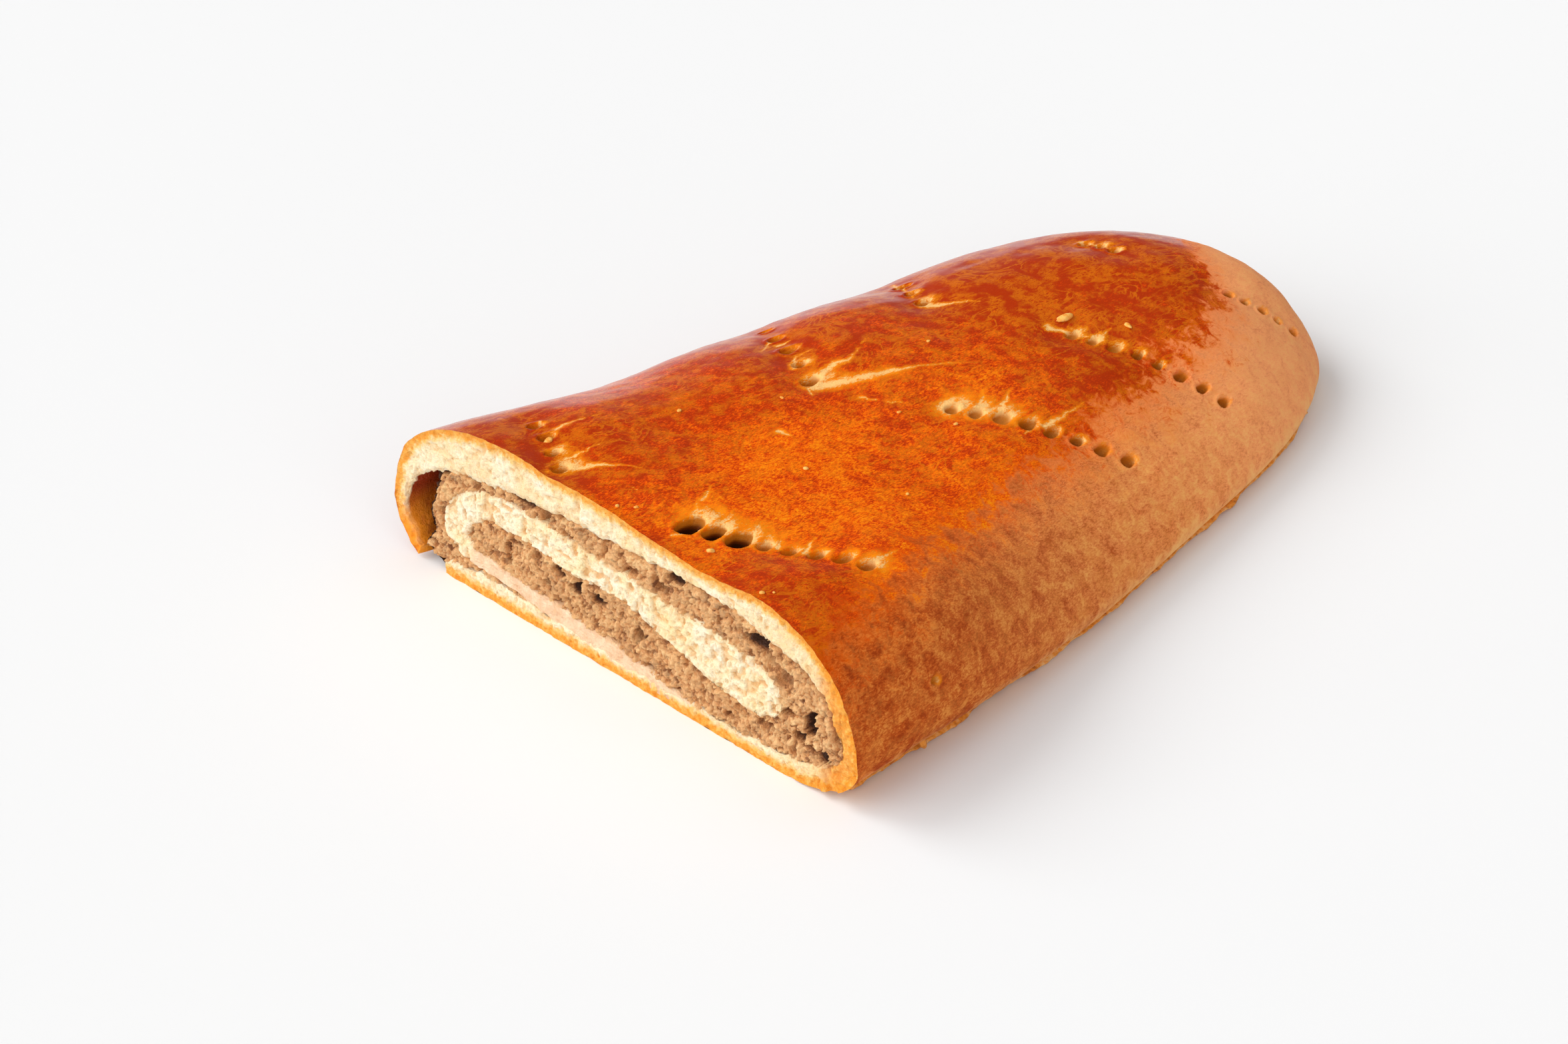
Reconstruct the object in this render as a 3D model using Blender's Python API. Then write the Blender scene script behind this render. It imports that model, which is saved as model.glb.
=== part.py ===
"""Nut strudel: a wide flat roll of one dough sheet and one spread of ground nuts, cut across at one end.

The roll lies along +Y. Its cut end is the plane y = CUT_Y and faces -Y; the far end is pinched shut.
The dough sheet starts as a loose tongue inside the roll, turns down at the left, runs right along the
bottom, rises as the right wall and comes back over the top and down the left side, where it tucks under.
"""

import math
import random

import bmesh
import bpy
import numpy as np
from mathutils import Vector

MM = 0.001

# Driving sizes of the roll, in millimetres
CUT_WIDTH = 155.0
LENGTH = 224.0
HALF_WIDTH = CUT_WIDTH / 2
CUT_Y = -LENGTH / 2
FIT_GAP = 0.3

# The pinched far end: how long the closing stretch is, how blunt, and where its tip lies
END_LENGTH = 67.6
END_BLUNTNESS = 2.7
END_X = 9.3
END_Z = 4.0
DOME_FALL = 0.8
HEEL_FALL = 0.3

# How the roll changes with distance from the cut: inset of each side, height against the cut's height
STATIONS = (0.0, 46.5, 93.0, 139.5, 178.0, 209.0)
LEFT_INSET = (0.0, 7.8, 10.5, 17.5, 24.3, 29.8)
RIGHT_INSET = (0.0, 3.3, 10.2, 19.2, 27.1, 33.4)
HEIGHT_SCALE = (1.0, 0.92, 0.87, 0.823, 0.79, 0.765)
MORPH_FROM, MORPH_TO = 8.0, 108.0
PULL_SOFTNESS = 2.0

# Outline of the cut end, as (x, z, thickness of the dough wrap), clockwise from the left foot
CUT_OUTLINE = (
    (-66.0, 0.0, 3.0), (-72.5, 4.0, 3.2), (-76.9, 15.0, 3.8), (-70.0, 32.8, 9.0), (-46.5, 44.0, 12.6),
    (-8.0, 44.5, 9.6), (28.0, 41.8, 5.6), (51.0, 42.6, 9.8), (69.0, 33.8, 7.4), (77.4, 17.0, 5.6),
    (74.0, 5.0, 6.0), (59.0, 0.3, 5.2), (24.0, 0.0, 3.6), (-20.0, 0.0, 4.6), (-45.0, 0.0, 5.4),
)
# Outline of the roll well behind the cut, domed with a long right slope, point for point like the cut's
FAR_OUTLINE = (
    (-66.0, 0.0), (-74.0, 4.0), (-77.4, 14.0), (-65.0, 32.5), (-38.0, 43.8),
    (-4.0, 46.0), (29.0, 40.8), (51.5, 31.5), (68.5, 20.6), (77.2, 9.5),
    (74.5, 2.4), (59.0, 0.0), (24.0, 0.0), (-20.0, 0.0), (-45.0, 0.0),
)
# The tongue of dough inside the roll, as (x, z, thickness), from its loose end round to where it lies down
TONGUE = (
    (53.5, 16.2, 8.5), (46.0, 18.2, 14.6), (34.0, 19.8, 14.6), (17.0, 22.3, 10.4), (1.0, 24.9, 8.4),
    (-13.0, 24.6, 9.0), (-29.0, 25.9, 8.6), (-43.0, 25.2, 8.4), (-53.0, 20.2, 8.6), (-55.2, 13.4, 8.0),
    (-49.5, 9.6, 5.6), (-39.0, 8.6, 4.4), (-24.0, 7.0, 5.2), (-6.0, 5.2, 6.0), (12.0, 3.2, 5.2),
    (26.0, 1.8, 3.0),
)
TONGUE_END_ROUNDING = 3.2
# Left side of the nut spread, which has shrunk from the wall and left a tunnel beside it
SPREAD_LEFT = (
    (-60.2, 40.0), (-62.0, 26.0), (-63.4, 20.0), (-65.2, 15.0), (-64.4, 10.0), (-66.2, 7.0),
    (-67.4, 4.6), (-63.8, 2.6), (-60.4, 1.1),
)
# The tunnel narrows with distance from the cut and is gone at this depth
TUNNEL_LENGTH, TUNNEL_SHUT = 120.0, 12.0
# Where the wrap has split under the left edge at the cut, and how far the split runs in
SPLIT_LEFT, SPLIT_RIGHT, SPLIT_TOP, SPLIT_LENGTH = -69.5, -59.8, 4.0, 26.0

# The roll's inside ends short of the pinched end
INSIDE_LENGTH = 192.0
END_WALL = 6.0

# Fork pricks, as (first x, first distance from the cut, last x, last distance, count)
PRICK_ROWS = (
    (13.7, 10.4, 49.5, 31.4, 8), (-42.3, 15.2, -22.5, 4.8, 4), (-46.5, 94.0, -14.0, 77.0, 5),
    (14.8, 95.4, 45.4, 124.4, 8), (-40.0, 135.0, -26.0, 128.0, 3), (9.5, 143.8, 41.0, 165.6, 8),
    (-20.0, 182.0, -11.5, 184.0, 3), (16.5, 196.0, 28.0, 208.5, 5),
)
PRICK_RADIUS, PRICK_DEPTH, PRICK_SIDES = 1.7, 4.6, 7
# Each row lies in a shallow trough that the fork pressed
TROUGH_DEPTH, TROUGH_REACH = 1.3, 8.0

# Holes left in the nut spread where crumbs fell out at the cut, as (x, z, half width, half height, depth)
CRUMB_HOLES = (
    (62.8, 17.0, 2.6, 4.0, 9.0), (66.5, 9.8, 2.6, 1.6, 5.0), (46.0, 31.0, 4.2, 2.0, 6.0),
    (20.0, 35.0, 3.2, 1.6, 5.0), (-19.0, 18.6, 2.4, 1.5, 5.0), (-13.5, 16.6, 2.6, 1.6, 5.0),
    (-6.0, 17.0, 2.2, 1.4, 5.0), (8.0, 14.6, 1.8, 1.4, 4.0), (-32.0, 32.6, 4.5, 1.2, 5.0),
    (59.0, 11.8, 1.8, 1.6, 4.0),
)
SPREAD_ROUGHNESS = 1.5
SPREAD_GRAIN = 2.4

# The ragged free edge of the sheet that shows along the right foot
LIP_WIDTH, LIP_THICKNESS, LIP_STEP = 3.4, 1.5, 4.0

# How finely the shapes are sampled
RING_POINTS = 68
BODY_RINGS = 22
END_RINGS = 14
INNER_POINTS = 60
INNER_RINGS = 12
OVERSHOOT = 6.0


def smooth_step(t):
    """0 to 1 with flat ends."""
    t = np.clip(t, 0.0, 1.0)
    return t * t * (3.0 - 2.0 * t)


def spline(points, closed=False, steps=16):
    """A Catmull-Rom curve through rows of points of any width."""
    p = np.array(points, float)
    if closed:
        p = np.vstack([p[-1], p, p[0], p[1]])
    else:
        p = np.vstack([2 * p[0] - p[1], p, 2 * p[-1] - p[-2]])
    t = np.linspace(0.0, 1.0, steps, endpoint=False)[:, None]
    pieces = []
    for a, b, c, d in zip(p, p[1:], p[2:], p[3:]):
        bend = (2 * a - 5 * b + 4 * c - d) * t**2 + (3 * b - a - 3 * c + d) * t**3
        pieces.append(0.5 * (2 * b + (c - a) * t + bend))
    if not closed:
        pieces.append(p[-2][None])
    return np.vstack(pieces)


def resample(curve, count, closed=False):
    """The same curve with points evenly spaced along it."""
    if closed:
        curve = np.vstack([curve, curve[:1]])
    run = np.r_[0.0, np.cumsum(np.linalg.norm(np.diff(curve[:, :2], axis=0), axis=1))]
    at = np.linspace(0.0, run[-1], count, endpoint=not closed)
    return np.stack([np.interp(at, run, column) for column in curve.T], axis=1)


def along(distance, values):
    """A value at a distance from the cut, smooth between the stations."""
    at = np.array(STATIONS)
    values = np.array(values)
    distance = min(distance, at[-1])
    slope = np.gradient(values, at)
    i = int(np.clip(np.searchsorted(at, distance) - 1, 0, len(at) - 2))
    span = at[i + 1] - at[i]
    t = (distance - at[i]) / span
    start = (2 * t**3 - 3 * t**2 + 1) * values[i] + (t**3 - 2 * t**2 + t) * span * slope[i]
    return start + (3 * t**2 - 2 * t**3) * values[i + 1] + (t**3 - t**2) * span * slope[i + 1]


def end_shrink(distance):
    """How far the closing end has drawn in: 1 before it, 0 at the tip."""
    k = np.clip((distance - (LENGTH - END_LENGTH)) / END_LENGTH, 0.0, 1.0)
    return (1.0 - k**END_BLUNTNESS) ** (1.0 / END_BLUNTNESS)


def draw_in(x, z, shrink):
    """Pulls a section towards the tip, its foot staying down the longest."""
    x = END_X + (x - END_X) * shrink
    up = END_Z + (z - END_Z) * shrink**DOME_FALL
    down = END_Z + (z - END_Z) * shrink**HEEL_FALL
    return x, np.where(z > END_Z, up, down)


def trough(x, distance):
    """Depth of the pressed troughs that the rows of pricks lie in."""
    depth = np.zeros_like(x)
    for x0, y0, x1, y1, _ in PRICK_ROWS:
        share = np.clip((x - x0) / (x1 - x0), 0.0, 1.0)
        gone = np.hypot(x - (x0 + share * (x1 - x0)), distance - (y0 + share * (y1 - y0)))
        depth = np.maximum(depth, TROUGH_DEPTH * np.exp(-((gone / TROUGH_REACH) ** 2)))
    return depth


def swell(x, distance):
    """The slow unevenness of risen dough, under a millimetre."""
    slow = np.sin(0.055 * distance + 0.03 * x + 0.6) * np.sin(0.048 * x - 0.021 * distance + 1.9)
    quick = np.sin(0.11 * distance - 0.05 * x) * np.sin(0.09 * x + 0.04 * distance + 0.7)
    return 0.7 * slow + 0.35 * quick


def widen(x, distance):
    """Moves x from the cut's width to the width at a distance."""
    left = -HALF_WIDTH + along(distance, LEFT_INSET)
    right = HALF_WIDTH - along(distance, RIGHT_INSET)
    return left + (x + HALF_WIDTH) / CUT_WIDTH * (right - left)


def outer_ring(distance, count=RING_POINTS):
    """The roll's outline (x, z) at a distance from the cut."""
    morph = smooth_step((distance - MORPH_FROM) / (MORPH_TO - MORPH_FROM))
    cut = resample(spline(CUT_OUTLINE, closed=True), count, closed=True)[:, :2]
    far = resample(spline(FAR_OUTLINE, closed=True), count, closed=True)[:, :2]
    section = cut + (far - cut) * morph
    x = widen(section[:, 0], distance)
    z = section[:, 1] * along(distance, HEIGHT_SCALE)
    crown = smooth_step((z - 8.0) / 20.0)
    fade = smooth_step(distance / 12.0)
    z = z + crown * (swell(x, distance) * fade - trough(x, distance))
    x, z = draw_in(x, np.maximum(z, 0.0), end_shrink(distance))
    return np.stack([x, np.maximum(z, 0.0)], axis=1)


def carry(points, distance):
    """Moves a figure drawn on the cut to a distance from it, each point with the outline nearest to it."""
    morph = smooth_step((distance - MORPH_FROM) / (MORPH_TO - MORPH_FROM))
    cut = resample(spline(CUT_OUTLINE, closed=True), RING_POINTS, closed=True)[:, :2]
    far = resample(spline(FAR_OUTLINE, closed=True), RING_POINTS, closed=True)[:, :2]
    gap = np.linalg.norm(points[:, None] - cut[None], axis=2)
    pull = 1.0 / (gap**2 + PULL_SOFTNESS**2) ** 2
    moved = points + morph * (pull @ (far - cut)) / pull.sum(axis=1)[:, None]
    x = widen(moved[:, 0], max(distance, 0.0))
    z = moved[:, 1] * along(max(distance, 0.0), HEIGHT_SCALE)
    return np.stack(draw_in(x, z, end_shrink(distance + END_WALL)), axis=1)


def offset(ring, by):
    """Moves a closed clockwise outline inwards by a distance at each point."""
    tangent = np.roll(ring, -1, axis=0) - np.roll(ring, 1, axis=0)
    tangent /= np.linalg.norm(tangent, axis=1)[:, None]
    inward = np.stack([tangent[:, 1], -tangent[:, 0]], axis=1)
    return ring + inward * np.reshape(by, (-1, 1))


def inside_of_wrap(extra):
    """The inner side of the dough wrap at the cut, drawn in by a further amount."""
    ring = resample(spline(CUT_OUTLINE, closed=True), 4 * INNER_POINTS, closed=True)
    inner = offset(ring[:, :2], ring[:, 2])
    return offset(resample(inner, INNER_POINTS, closed=True), extra)


def tongue_outline(extra):
    """The tongue's closed outline at the cut, swollen by a further amount, clockwise."""
    path = resample(spline(TONGUE), INNER_POINTS // 2)
    line, half = path[:, :2], path[:, 2] / 2
    tangent = np.gradient(line, axis=0)
    tangent /= np.linalg.norm(tangent, axis=1)[:, None]
    normal = np.stack([-tangent[:, 1], tangent[:, 0]], axis=1)
    reach = np.r_[0.0, np.cumsum(np.linalg.norm(np.diff(line, axis=0), axis=1))]
    blunt = np.sqrt(1.0 - np.clip(1.0 - reach / TONGUE_END_ROUNDING, 0.0, 0.92) ** 2)
    side = normal * (half * blunt)[:, None]
    return offset(np.vstack([line + side, (line - side)[::-1]]), -extra)


def loft(name, rings):
    """A closed solid through rings of equal count, each a list of (x, y, z) in millimetres."""
    count = len(rings[0])
    verts = np.concatenate(rings) * MM
    first = np.arange(count)
    second = np.roll(first, -1)
    faces = []
    for i in range(len(rings) - 1):
        low, high = i * count, (i + 1) * count
        faces += np.stack([low + first, low + second, high + second, high + first], axis=1).tolist()
    faces.append(first[::-1].tolist())
    faces.append((first + (len(rings) - 1) * count).tolist())
    mesh = bpy.data.meshes.new(name)
    mesh.from_pydata(verts.tolist(), [], faces)
    return finish_mesh(name, mesh)


def finish_mesh(name, mesh):
    """Joins coincident points, triangulates, turns the faces outwards and links the object."""
    bm = bmesh.new()
    bm.from_mesh(mesh)
    bmesh.ops.remove_doubles(bm, verts=bm.verts, dist=0.01 * MM)
    bmesh.ops.triangulate(bm, faces=bm.faces)
    bmesh.ops.recalc_face_normals(bm, faces=bm.faces)
    bm.to_mesh(mesh)
    bm.free()
    piece = bpy.data.objects.new(name, mesh)
    bpy.context.scene.collection.objects.link(piece)
    return piece


def at_distance(section, distance):
    """Section points (x, z) as points of the roll."""
    return np.stack([section[:, 0], np.full(len(section), CUT_Y + distance), section[:, 1]], axis=1)


def body_distances():
    """Distances of the outer rings, closer together round the closing end."""
    start = LENGTH - END_LENGTH
    turn = np.linspace(0.0, math.pi / 2, END_RINGS + 1)[1:-1]
    return np.r_[np.linspace(0.0, start, BODY_RINGS), start + END_LENGTH * np.sin(turn), LENGTH - 0.15]


def inner_distances():
    """Distances of the rings of everything inside the roll; the first is outside the cut."""
    return np.r_[-OVERSHOOT, np.linspace(0.0, INSIDE_LENGTH, INNER_RINGS)]


def tongue_distances():
    """Distances of the tongue's rings; it runs past the end of the inside, to fuse with the end wall."""
    return np.linspace(0.0, INSIDE_LENGTH + END_WALL, INNER_RINGS)


def boolean(piece, cutter, operation):
    """Applies a Boolean and removes the second object."""
    modifier = piece.modifiers.new(operation.lower(), "BOOLEAN")
    modifier.operation = operation
    modifier.solver = "EXACT"
    modifier.object = cutter
    bpy.context.view_layer.objects.active = piece
    bpy.ops.object.modifier_apply(modifier=modifier.name)
    bpy.data.objects.remove(cutter)


def make_shell():
    """The whole roll as a solid, before its inside is taken out."""
    rings = [at_distance(outer_ring(d), d) for d in body_distances()]
    return loft("rolled_dough", rings)


def make_inside(name, extra):
    """The space within the wrap, or the nut spread's block when drawn in by the fit gap."""
    section = inside_of_wrap(extra)
    rings = [at_distance(carry(section, d), d) for d in inner_distances()]
    return loft(name, rings)


def make_tongue(name, extra, distances):
    """The tongue of dough, or the room it needs in the nut spread when swollen by the fit gap."""
    section = tongue_outline(extra)
    return loft(name, [at_distance(carry(section, d), d) for d in distances])


def make_split():
    """The wedge that opens the wrap under the left edge at the cut."""
    rings = []
    for distance, share in ((-OVERSHOOT, 1.0), (0.0, 1.0), (SPLIT_LENGTH * 0.6, 0.7), (SPLIT_LENGTH, 0.05)):
        middle = (SPLIT_LEFT + SPLIT_RIGHT) / 2
        half = (SPLIT_RIGHT - SPLIT_LEFT) / 2 * share
        top = SPLIT_TOP + (1.0 - share) * 2.0
        box = np.array([(middle - half, -OVERSHOOT), (middle - half, top), (middle + half, top * 0.75),
                        (middle + half, -OVERSHOOT)])
        x = widen(box[:, 0], max(distance, 0.0))
        rings.append(at_distance(np.stack([x, box[:, 1]], axis=1), distance))
    return loft("split", rings)


def top_height(x, distance):
    """Height of the roll's top side over x at a distance from the cut."""
    ring = outer_ring(distance, 4 * RING_POINTS)
    top = ring[ring[:, 1] > 10.0]
    top = top[np.argsort(top[:, 0])]
    return float(np.interp(x, top[:, 0], top[:, 1]))


def surface_point(x, distance):
    """The point of the top side over x at a distance, and the way out of the dough there."""
    across = (top_height(x + 1.0, distance) - top_height(x - 1.0, distance)) / 2
    lengthwise = (top_height(x, distance + 1.0) - top_height(x, distance - 1.0)) / 2
    point = Vector((x, CUT_Y + distance, top_height(x, distance)))
    return point, Vector((-across, -lengthwise, 1.0)).normalized()


def make_pricks():
    """Every fork prick as a blunt cone, all in one cutter."""
    bm = bmesh.new()
    draw = random.Random(7)
    for x0, y0, x1, y1, count in PRICK_ROWS:
        for i in range(count):
            share = i / (count - 1)
            stray = draw.uniform(-0.6, 0.6)
            point, out = surface_point(x0 + share * (x1 - x0), y0 + share * (y1 - y0) + stray)
            radius = PRICK_RADIUS * draw.uniform(0.82, 1.15)
            made = bmesh.ops.create_cone(bm, cap_ends=True, segments=PRICK_SIDES, radius1=radius * 0.45,
                                         radius2=radius * 1.35, depth=2 * PRICK_DEPTH)
            turn = out.to_track_quat("Z", "Y").to_matrix()
            for vert in made["verts"]:
                vert.co = (turn @ vert.co + point) * MM
    mesh = bpy.data.meshes.new("pricks")
    bm.to_mesh(mesh)
    bm.free()
    return finish_mesh("pricks", mesh)


def make_tunnel():
    """The empty space between the left wall and the nut spread, dying out along the roll."""
    edge = spline(SPREAD_LEFT, steps=4)
    outside = np.array([(-HALF_WIDTH - 9.0, edge[-1, 1] - 9.0), (-HALF_WIDTH - 9.0, edge[0, 1] + 12.0)])
    section = np.vstack([edge, (edge[-1, 0], edge[-1, 1] - 9.0), outside, (edge[0, 0], edge[0, 1] + 12.0)])
    rings = []
    for distance in (-OVERSHOOT, *np.linspace(0.0, TUNNEL_LENGTH, 5)):
        moved = section - (TUNNEL_SHUT * smooth_step(max(distance, 0.0) / TUNNEL_LENGTH), 0.0)
        rings.append(at_distance(carry(moved, distance), distance))
    return loft("tunnel", rings)


def make_crumb_holes():
    """The holes in the face of the nut spread, as squashed balls, all in one cutter."""
    bm = bmesh.new()
    for x, z, wide, high, depth in CRUMB_HOLES:
        made = bmesh.ops.create_icosphere(bm, subdivisions=2, radius=1.0)
        for vert in made["verts"]:
            vert.co = Vector((x + vert.co.x * wide, CUT_Y + vert.co.y * depth, z + vert.co.z * high)) * MM
    mesh = bpy.data.meshes.new("crumb_holes")
    bm.to_mesh(mesh)
    bm.free()
    return finish_mesh("crumb_holes", mesh)


def make_rough_knife():
    """A slab in front of the cut whose back face is crumbly, which trims the nut spread."""
    draw = np.random.default_rng(11)
    xs = np.arange(-HALF_WIDTH - 4.0, HALF_WIDTH + 4.0, SPREAD_GRAIN)
    zs = np.arange(-4.0, 52.0, SPREAD_GRAIN)
    grid_x, grid_z = np.meshgrid(xs, zs, indexing="ij")
    grid_x = grid_x + draw.uniform(-0.3, 0.3, grid_x.shape) * SPREAD_GRAIN
    grid_z = grid_z + draw.uniform(-0.3, 0.3, grid_z.shape) * SPREAD_GRAIN
    depth = 0.15 + SPREAD_ROUGHNESS * draw.random(grid_x.shape) ** 1.6
    back = np.stack([grid_x, CUT_Y + depth, grid_z], axis=2).reshape(-1, 3)
    front = back.copy()
    front[:, 1] = CUT_Y - 2 * OVERSHOOT
    rows, columns = grid_x.shape
    index = np.arange(rows * columns).reshape(rows, columns)
    quads = np.stack([index[:-1, :-1], index[1:, :-1], index[1:, 1:], index[:-1, 1:]], axis=2).reshape(-1, 4)
    edge = np.r_[index[:, 0], index[-1, 1:], index[-2::-1, -1], index[0, -2:0:-1]]
    following = np.roll(edge, -1)
    lift = rows * columns
    sides = np.stack([edge, following, following + lift, edge + lift], axis=1)
    faces = quads.tolist() + (quads[:, ::-1] + lift).tolist() + sides.tolist()
    mesh = bpy.data.meshes.new("rough_knife")
    mesh.from_pydata((np.concatenate([back, front]) * MM).tolist(), [], faces)
    return finish_mesh("rough_knife", mesh)


def make_lip():
    """The sheet's ragged free edge, lying on the table along the right foot."""
    draw = random.Random(23)
    rings = []
    for distance in np.arange(14.0, LENGTH - 34.0, LIP_STEP):
        ring = outer_ring(distance)
        foot = ring[(ring[:, 1] < 5.0) & (ring[:, 0] > 0.0)]
        edge = float(foot[:, 0].max()) - 2.2
        wide = LIP_WIDTH * draw.uniform(0.45, 1.0)
        high = LIP_THICKNESS * draw.uniform(0.6, 1.1)
        root = edge - 7.0
        section = np.array([(root, 0.4), (root, 2.2), (edge + wide * 0.7, high + 0.6), (edge + wide, 0.9)])
        rings.append(at_distance(section, distance))
    return loft("lip", rings)


def material(name, colour, roughness):
    """A plain finish."""
    made = bpy.data.materials.new(name)
    made.use_nodes = True
    shader = made.node_tree.nodes["Principled BSDF"]
    shader.inputs["Base Color"].default_value = (*colour, 1.0)
    shader.inputs["Roughness"].default_value = roughness
    shader.inputs["Metallic"].default_value = 0.0
    return made


def make_dough():
    """The sheet of dough: the wrap, with the tongue fused to its floor."""
    dough = make_shell()
    boolean(dough, make_inside("room", 0.0), "DIFFERENCE")
    boolean(dough, make_tongue("tongue", 0.0, tongue_distances()), "UNION")
    boolean(dough, make_split(), "DIFFERENCE")
    boolean(dough, make_lip(), "UNION")
    boolean(dough, make_pricks(), "DIFFERENCE")
    dough.data.materials.append(material("baked_dough", (0.55, 0.19, 0.04), 0.35))
    return dough


def make_filling():
    """The spread of ground nuts, which fills the room round the tongue but for the tunnel at the left."""
    filling = make_inside("nut_filling", FIT_GAP)
    boolean(filling, make_tongue("tongue_room", FIT_GAP, np.r_[-OVERSHOOT, tongue_distances()]), "DIFFERENCE")
    boolean(filling, make_tunnel(), "DIFFERENCE")
    boolean(filling, make_crumb_holes(), "DIFFERENCE")
    boolean(filling, make_rough_knife(), "DIFFERENCE")
    filling.data.materials.append(material("ground_nuts", (0.42, 0.25, 0.14), 0.7))
    return filling


def main():
    for old in list(bpy.data.objects):
        bpy.data.objects.remove(old)
    make_dough()
    make_filling()


main()
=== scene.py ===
"""Nut strudel: the looks of a flat baked roll of sweet dough round a nut filling, cut across at one end.

Laid out as an add-on: the property groups hold what a user would change, each operator makes one piece or
one group of like pieces, and the panel lists them. Lengths in the shape functions are millimetres.
A place on the outside of the roll is (share, distance): the share of the way round the outline, clockwise
from the left foot, and the distance from the cut end.
"""

from contextlib import contextmanager

import bmesh
import bpy
import numpy as np
from bpy.props import FloatProperty, FloatVectorProperty, PointerProperty
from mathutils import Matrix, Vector


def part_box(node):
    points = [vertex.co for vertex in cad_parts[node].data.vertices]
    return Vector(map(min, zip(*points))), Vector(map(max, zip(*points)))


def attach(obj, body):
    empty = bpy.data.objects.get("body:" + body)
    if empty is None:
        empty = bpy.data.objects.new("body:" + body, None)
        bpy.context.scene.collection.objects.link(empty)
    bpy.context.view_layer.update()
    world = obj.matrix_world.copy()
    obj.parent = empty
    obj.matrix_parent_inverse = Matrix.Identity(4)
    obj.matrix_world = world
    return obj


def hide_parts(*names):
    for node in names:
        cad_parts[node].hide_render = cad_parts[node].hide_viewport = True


bl_info = {
    "name": "Nut Strudel",
    "version": (1, 0, 0),
    "blender": (4, 5, 0),
    "location": "3D View > Sidebar > Strudel",
    "description": "Builds a glazed nut strudel with its cut face, crumbs, table and lights",
    "category": "Object",
}

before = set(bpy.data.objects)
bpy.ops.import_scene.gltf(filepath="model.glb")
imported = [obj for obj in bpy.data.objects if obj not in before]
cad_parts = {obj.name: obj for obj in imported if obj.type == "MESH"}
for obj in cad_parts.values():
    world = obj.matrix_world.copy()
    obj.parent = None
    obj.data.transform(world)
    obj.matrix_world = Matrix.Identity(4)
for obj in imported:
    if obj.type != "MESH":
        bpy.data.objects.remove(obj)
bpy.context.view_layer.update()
DOUGH_LOW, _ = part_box("rolled_dough")

MM = 0.001
CUT_Y = DOUGH_LOW.y / MM
LENGTH = -2.0 * CUT_Y
CUT_WIDTH = 155.0
HALF_WIDTH = CUT_WIDTH / 2

# The closing far end: how long it is, how blunt, and where its tip lies
END_LENGTH, END_BLUNTNESS = 67.6, 2.7
END_X, END_Z = 9.3, 4.0
DOME_FALL, HEEL_FALL = 0.8, 0.3

# How the roll changes with distance from the cut: inset of each side, height against the cut's height
STATIONS = (0.0, 46.5, 93.0, 139.5, 178.0, 209.0)
LEFT_INSET = (0.0, 7.8, 10.5, 17.5, 24.3, 29.8)
RIGHT_INSET = (0.0, 3.3, 10.2, 19.2, 27.1, 33.4)
HEIGHT_SCALE = (1.0, 0.92, 0.87, 0.823, 0.79, 0.765)
MORPH_FROM, MORPH_TO = 8.0, 108.0
PULL_SOFTNESS = 2.0
CROWN_FROM, CROWN_DEPTH = 8.0, 20.0

# Outline of the cut end, as (x, z, thickness of the wrap), clockwise from the left foot
CUT_OUTLINE = (
    (-66.0, 0.0, 3.0), (-72.5, 4.0, 3.2), (-76.9, 15.0, 3.8), (-70.0, 32.8, 9.0), (-46.5, 44.0, 12.6),
    (-8.0, 44.5, 9.6), (28.0, 41.8, 5.6), (51.0, 42.6, 9.8), (69.0, 33.8, 7.4), (77.4, 17.0, 5.6),
    (74.0, 5.0, 6.0), (59.0, 0.3, 5.2), (24.0, 0.0, 3.6), (-20.0, 0.0, 4.6), (-45.0, 0.0, 5.4),
)
# The same points well behind the cut, where the roll is domed with a long right slope
FAR_OUTLINE = (
    (-66.0, 0.0), (-74.0, 4.0), (-77.4, 14.0), (-65.0, 32.5), (-38.0, 43.8),
    (-4.0, 46.0), (29.0, 40.8), (51.5, 31.5), (68.5, 20.6), (77.2, 9.5),
    (74.5, 2.4), (59.0, 0.0), (24.0, 0.0), (-20.0, 0.0), (-45.0, 0.0),
)
# The tongue of dough inside the roll, as (x, z, thickness), from its loose end to where it lies down
TONGUE = (
    (53.5, 16.2, 8.5), (46.0, 18.2, 14.6), (34.0, 19.8, 14.6), (17.0, 22.3, 10.4), (1.0, 24.9, 8.4),
    (-13.0, 24.6, 9.0), (-29.0, 25.9, 8.6), (-43.0, 25.2, 8.4), (-53.0, 20.2, 8.6), (-55.2, 13.4, 8.0),
    (-49.5, 9.6, 5.6), (-39.0, 8.6, 4.4), (-24.0, 7.0, 5.2), (-6.0, 5.2, 6.0), (12.0, 3.2, 5.2),
    (26.0, 1.8, 3.0),
)
TONGUE_END_ROUNDING = 3.2
SOGGY_FROM, SOGGY_FADE = 118.0, 10.0
# Spacing of the coarse grid for the nut face, and the value of its darkest hollows, painted as the darkest
# shadow
COARSE_STEP, DARKEST = 0.5, 2.2
# Left side of the nut spread, with the open tunnel beside it
SPREAD_LEFT = (
    (-60.2, 40.0), (-62.0, 26.0), (-63.4, 20.0), (-65.2, 15.0), (-64.4, 10.0), (-66.2, 7.0),
    (-67.4, 4.6), (-63.8, 2.6), (-60.4, 1.1),
)
TUNNEL_LENGTH, TUNNEL_SHUT = 120.0, 12.0
WALL_DEPTH, CARRY_STEP = 5.0, 6.0
# The split under the left edge: its middle and half width in x, and how deep it runs at shares of that width
SPLIT_MIDDLE, SPLIT_HALF, SPLIT_HEIGHT = -64.6, 4.9, 5.0
SPLIT_SHARES, SPLIT_DEPTHS = (0.0, 0.05, 0.7, 1.0), (24.0, 24.0, 14.0, 0.0)

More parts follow.
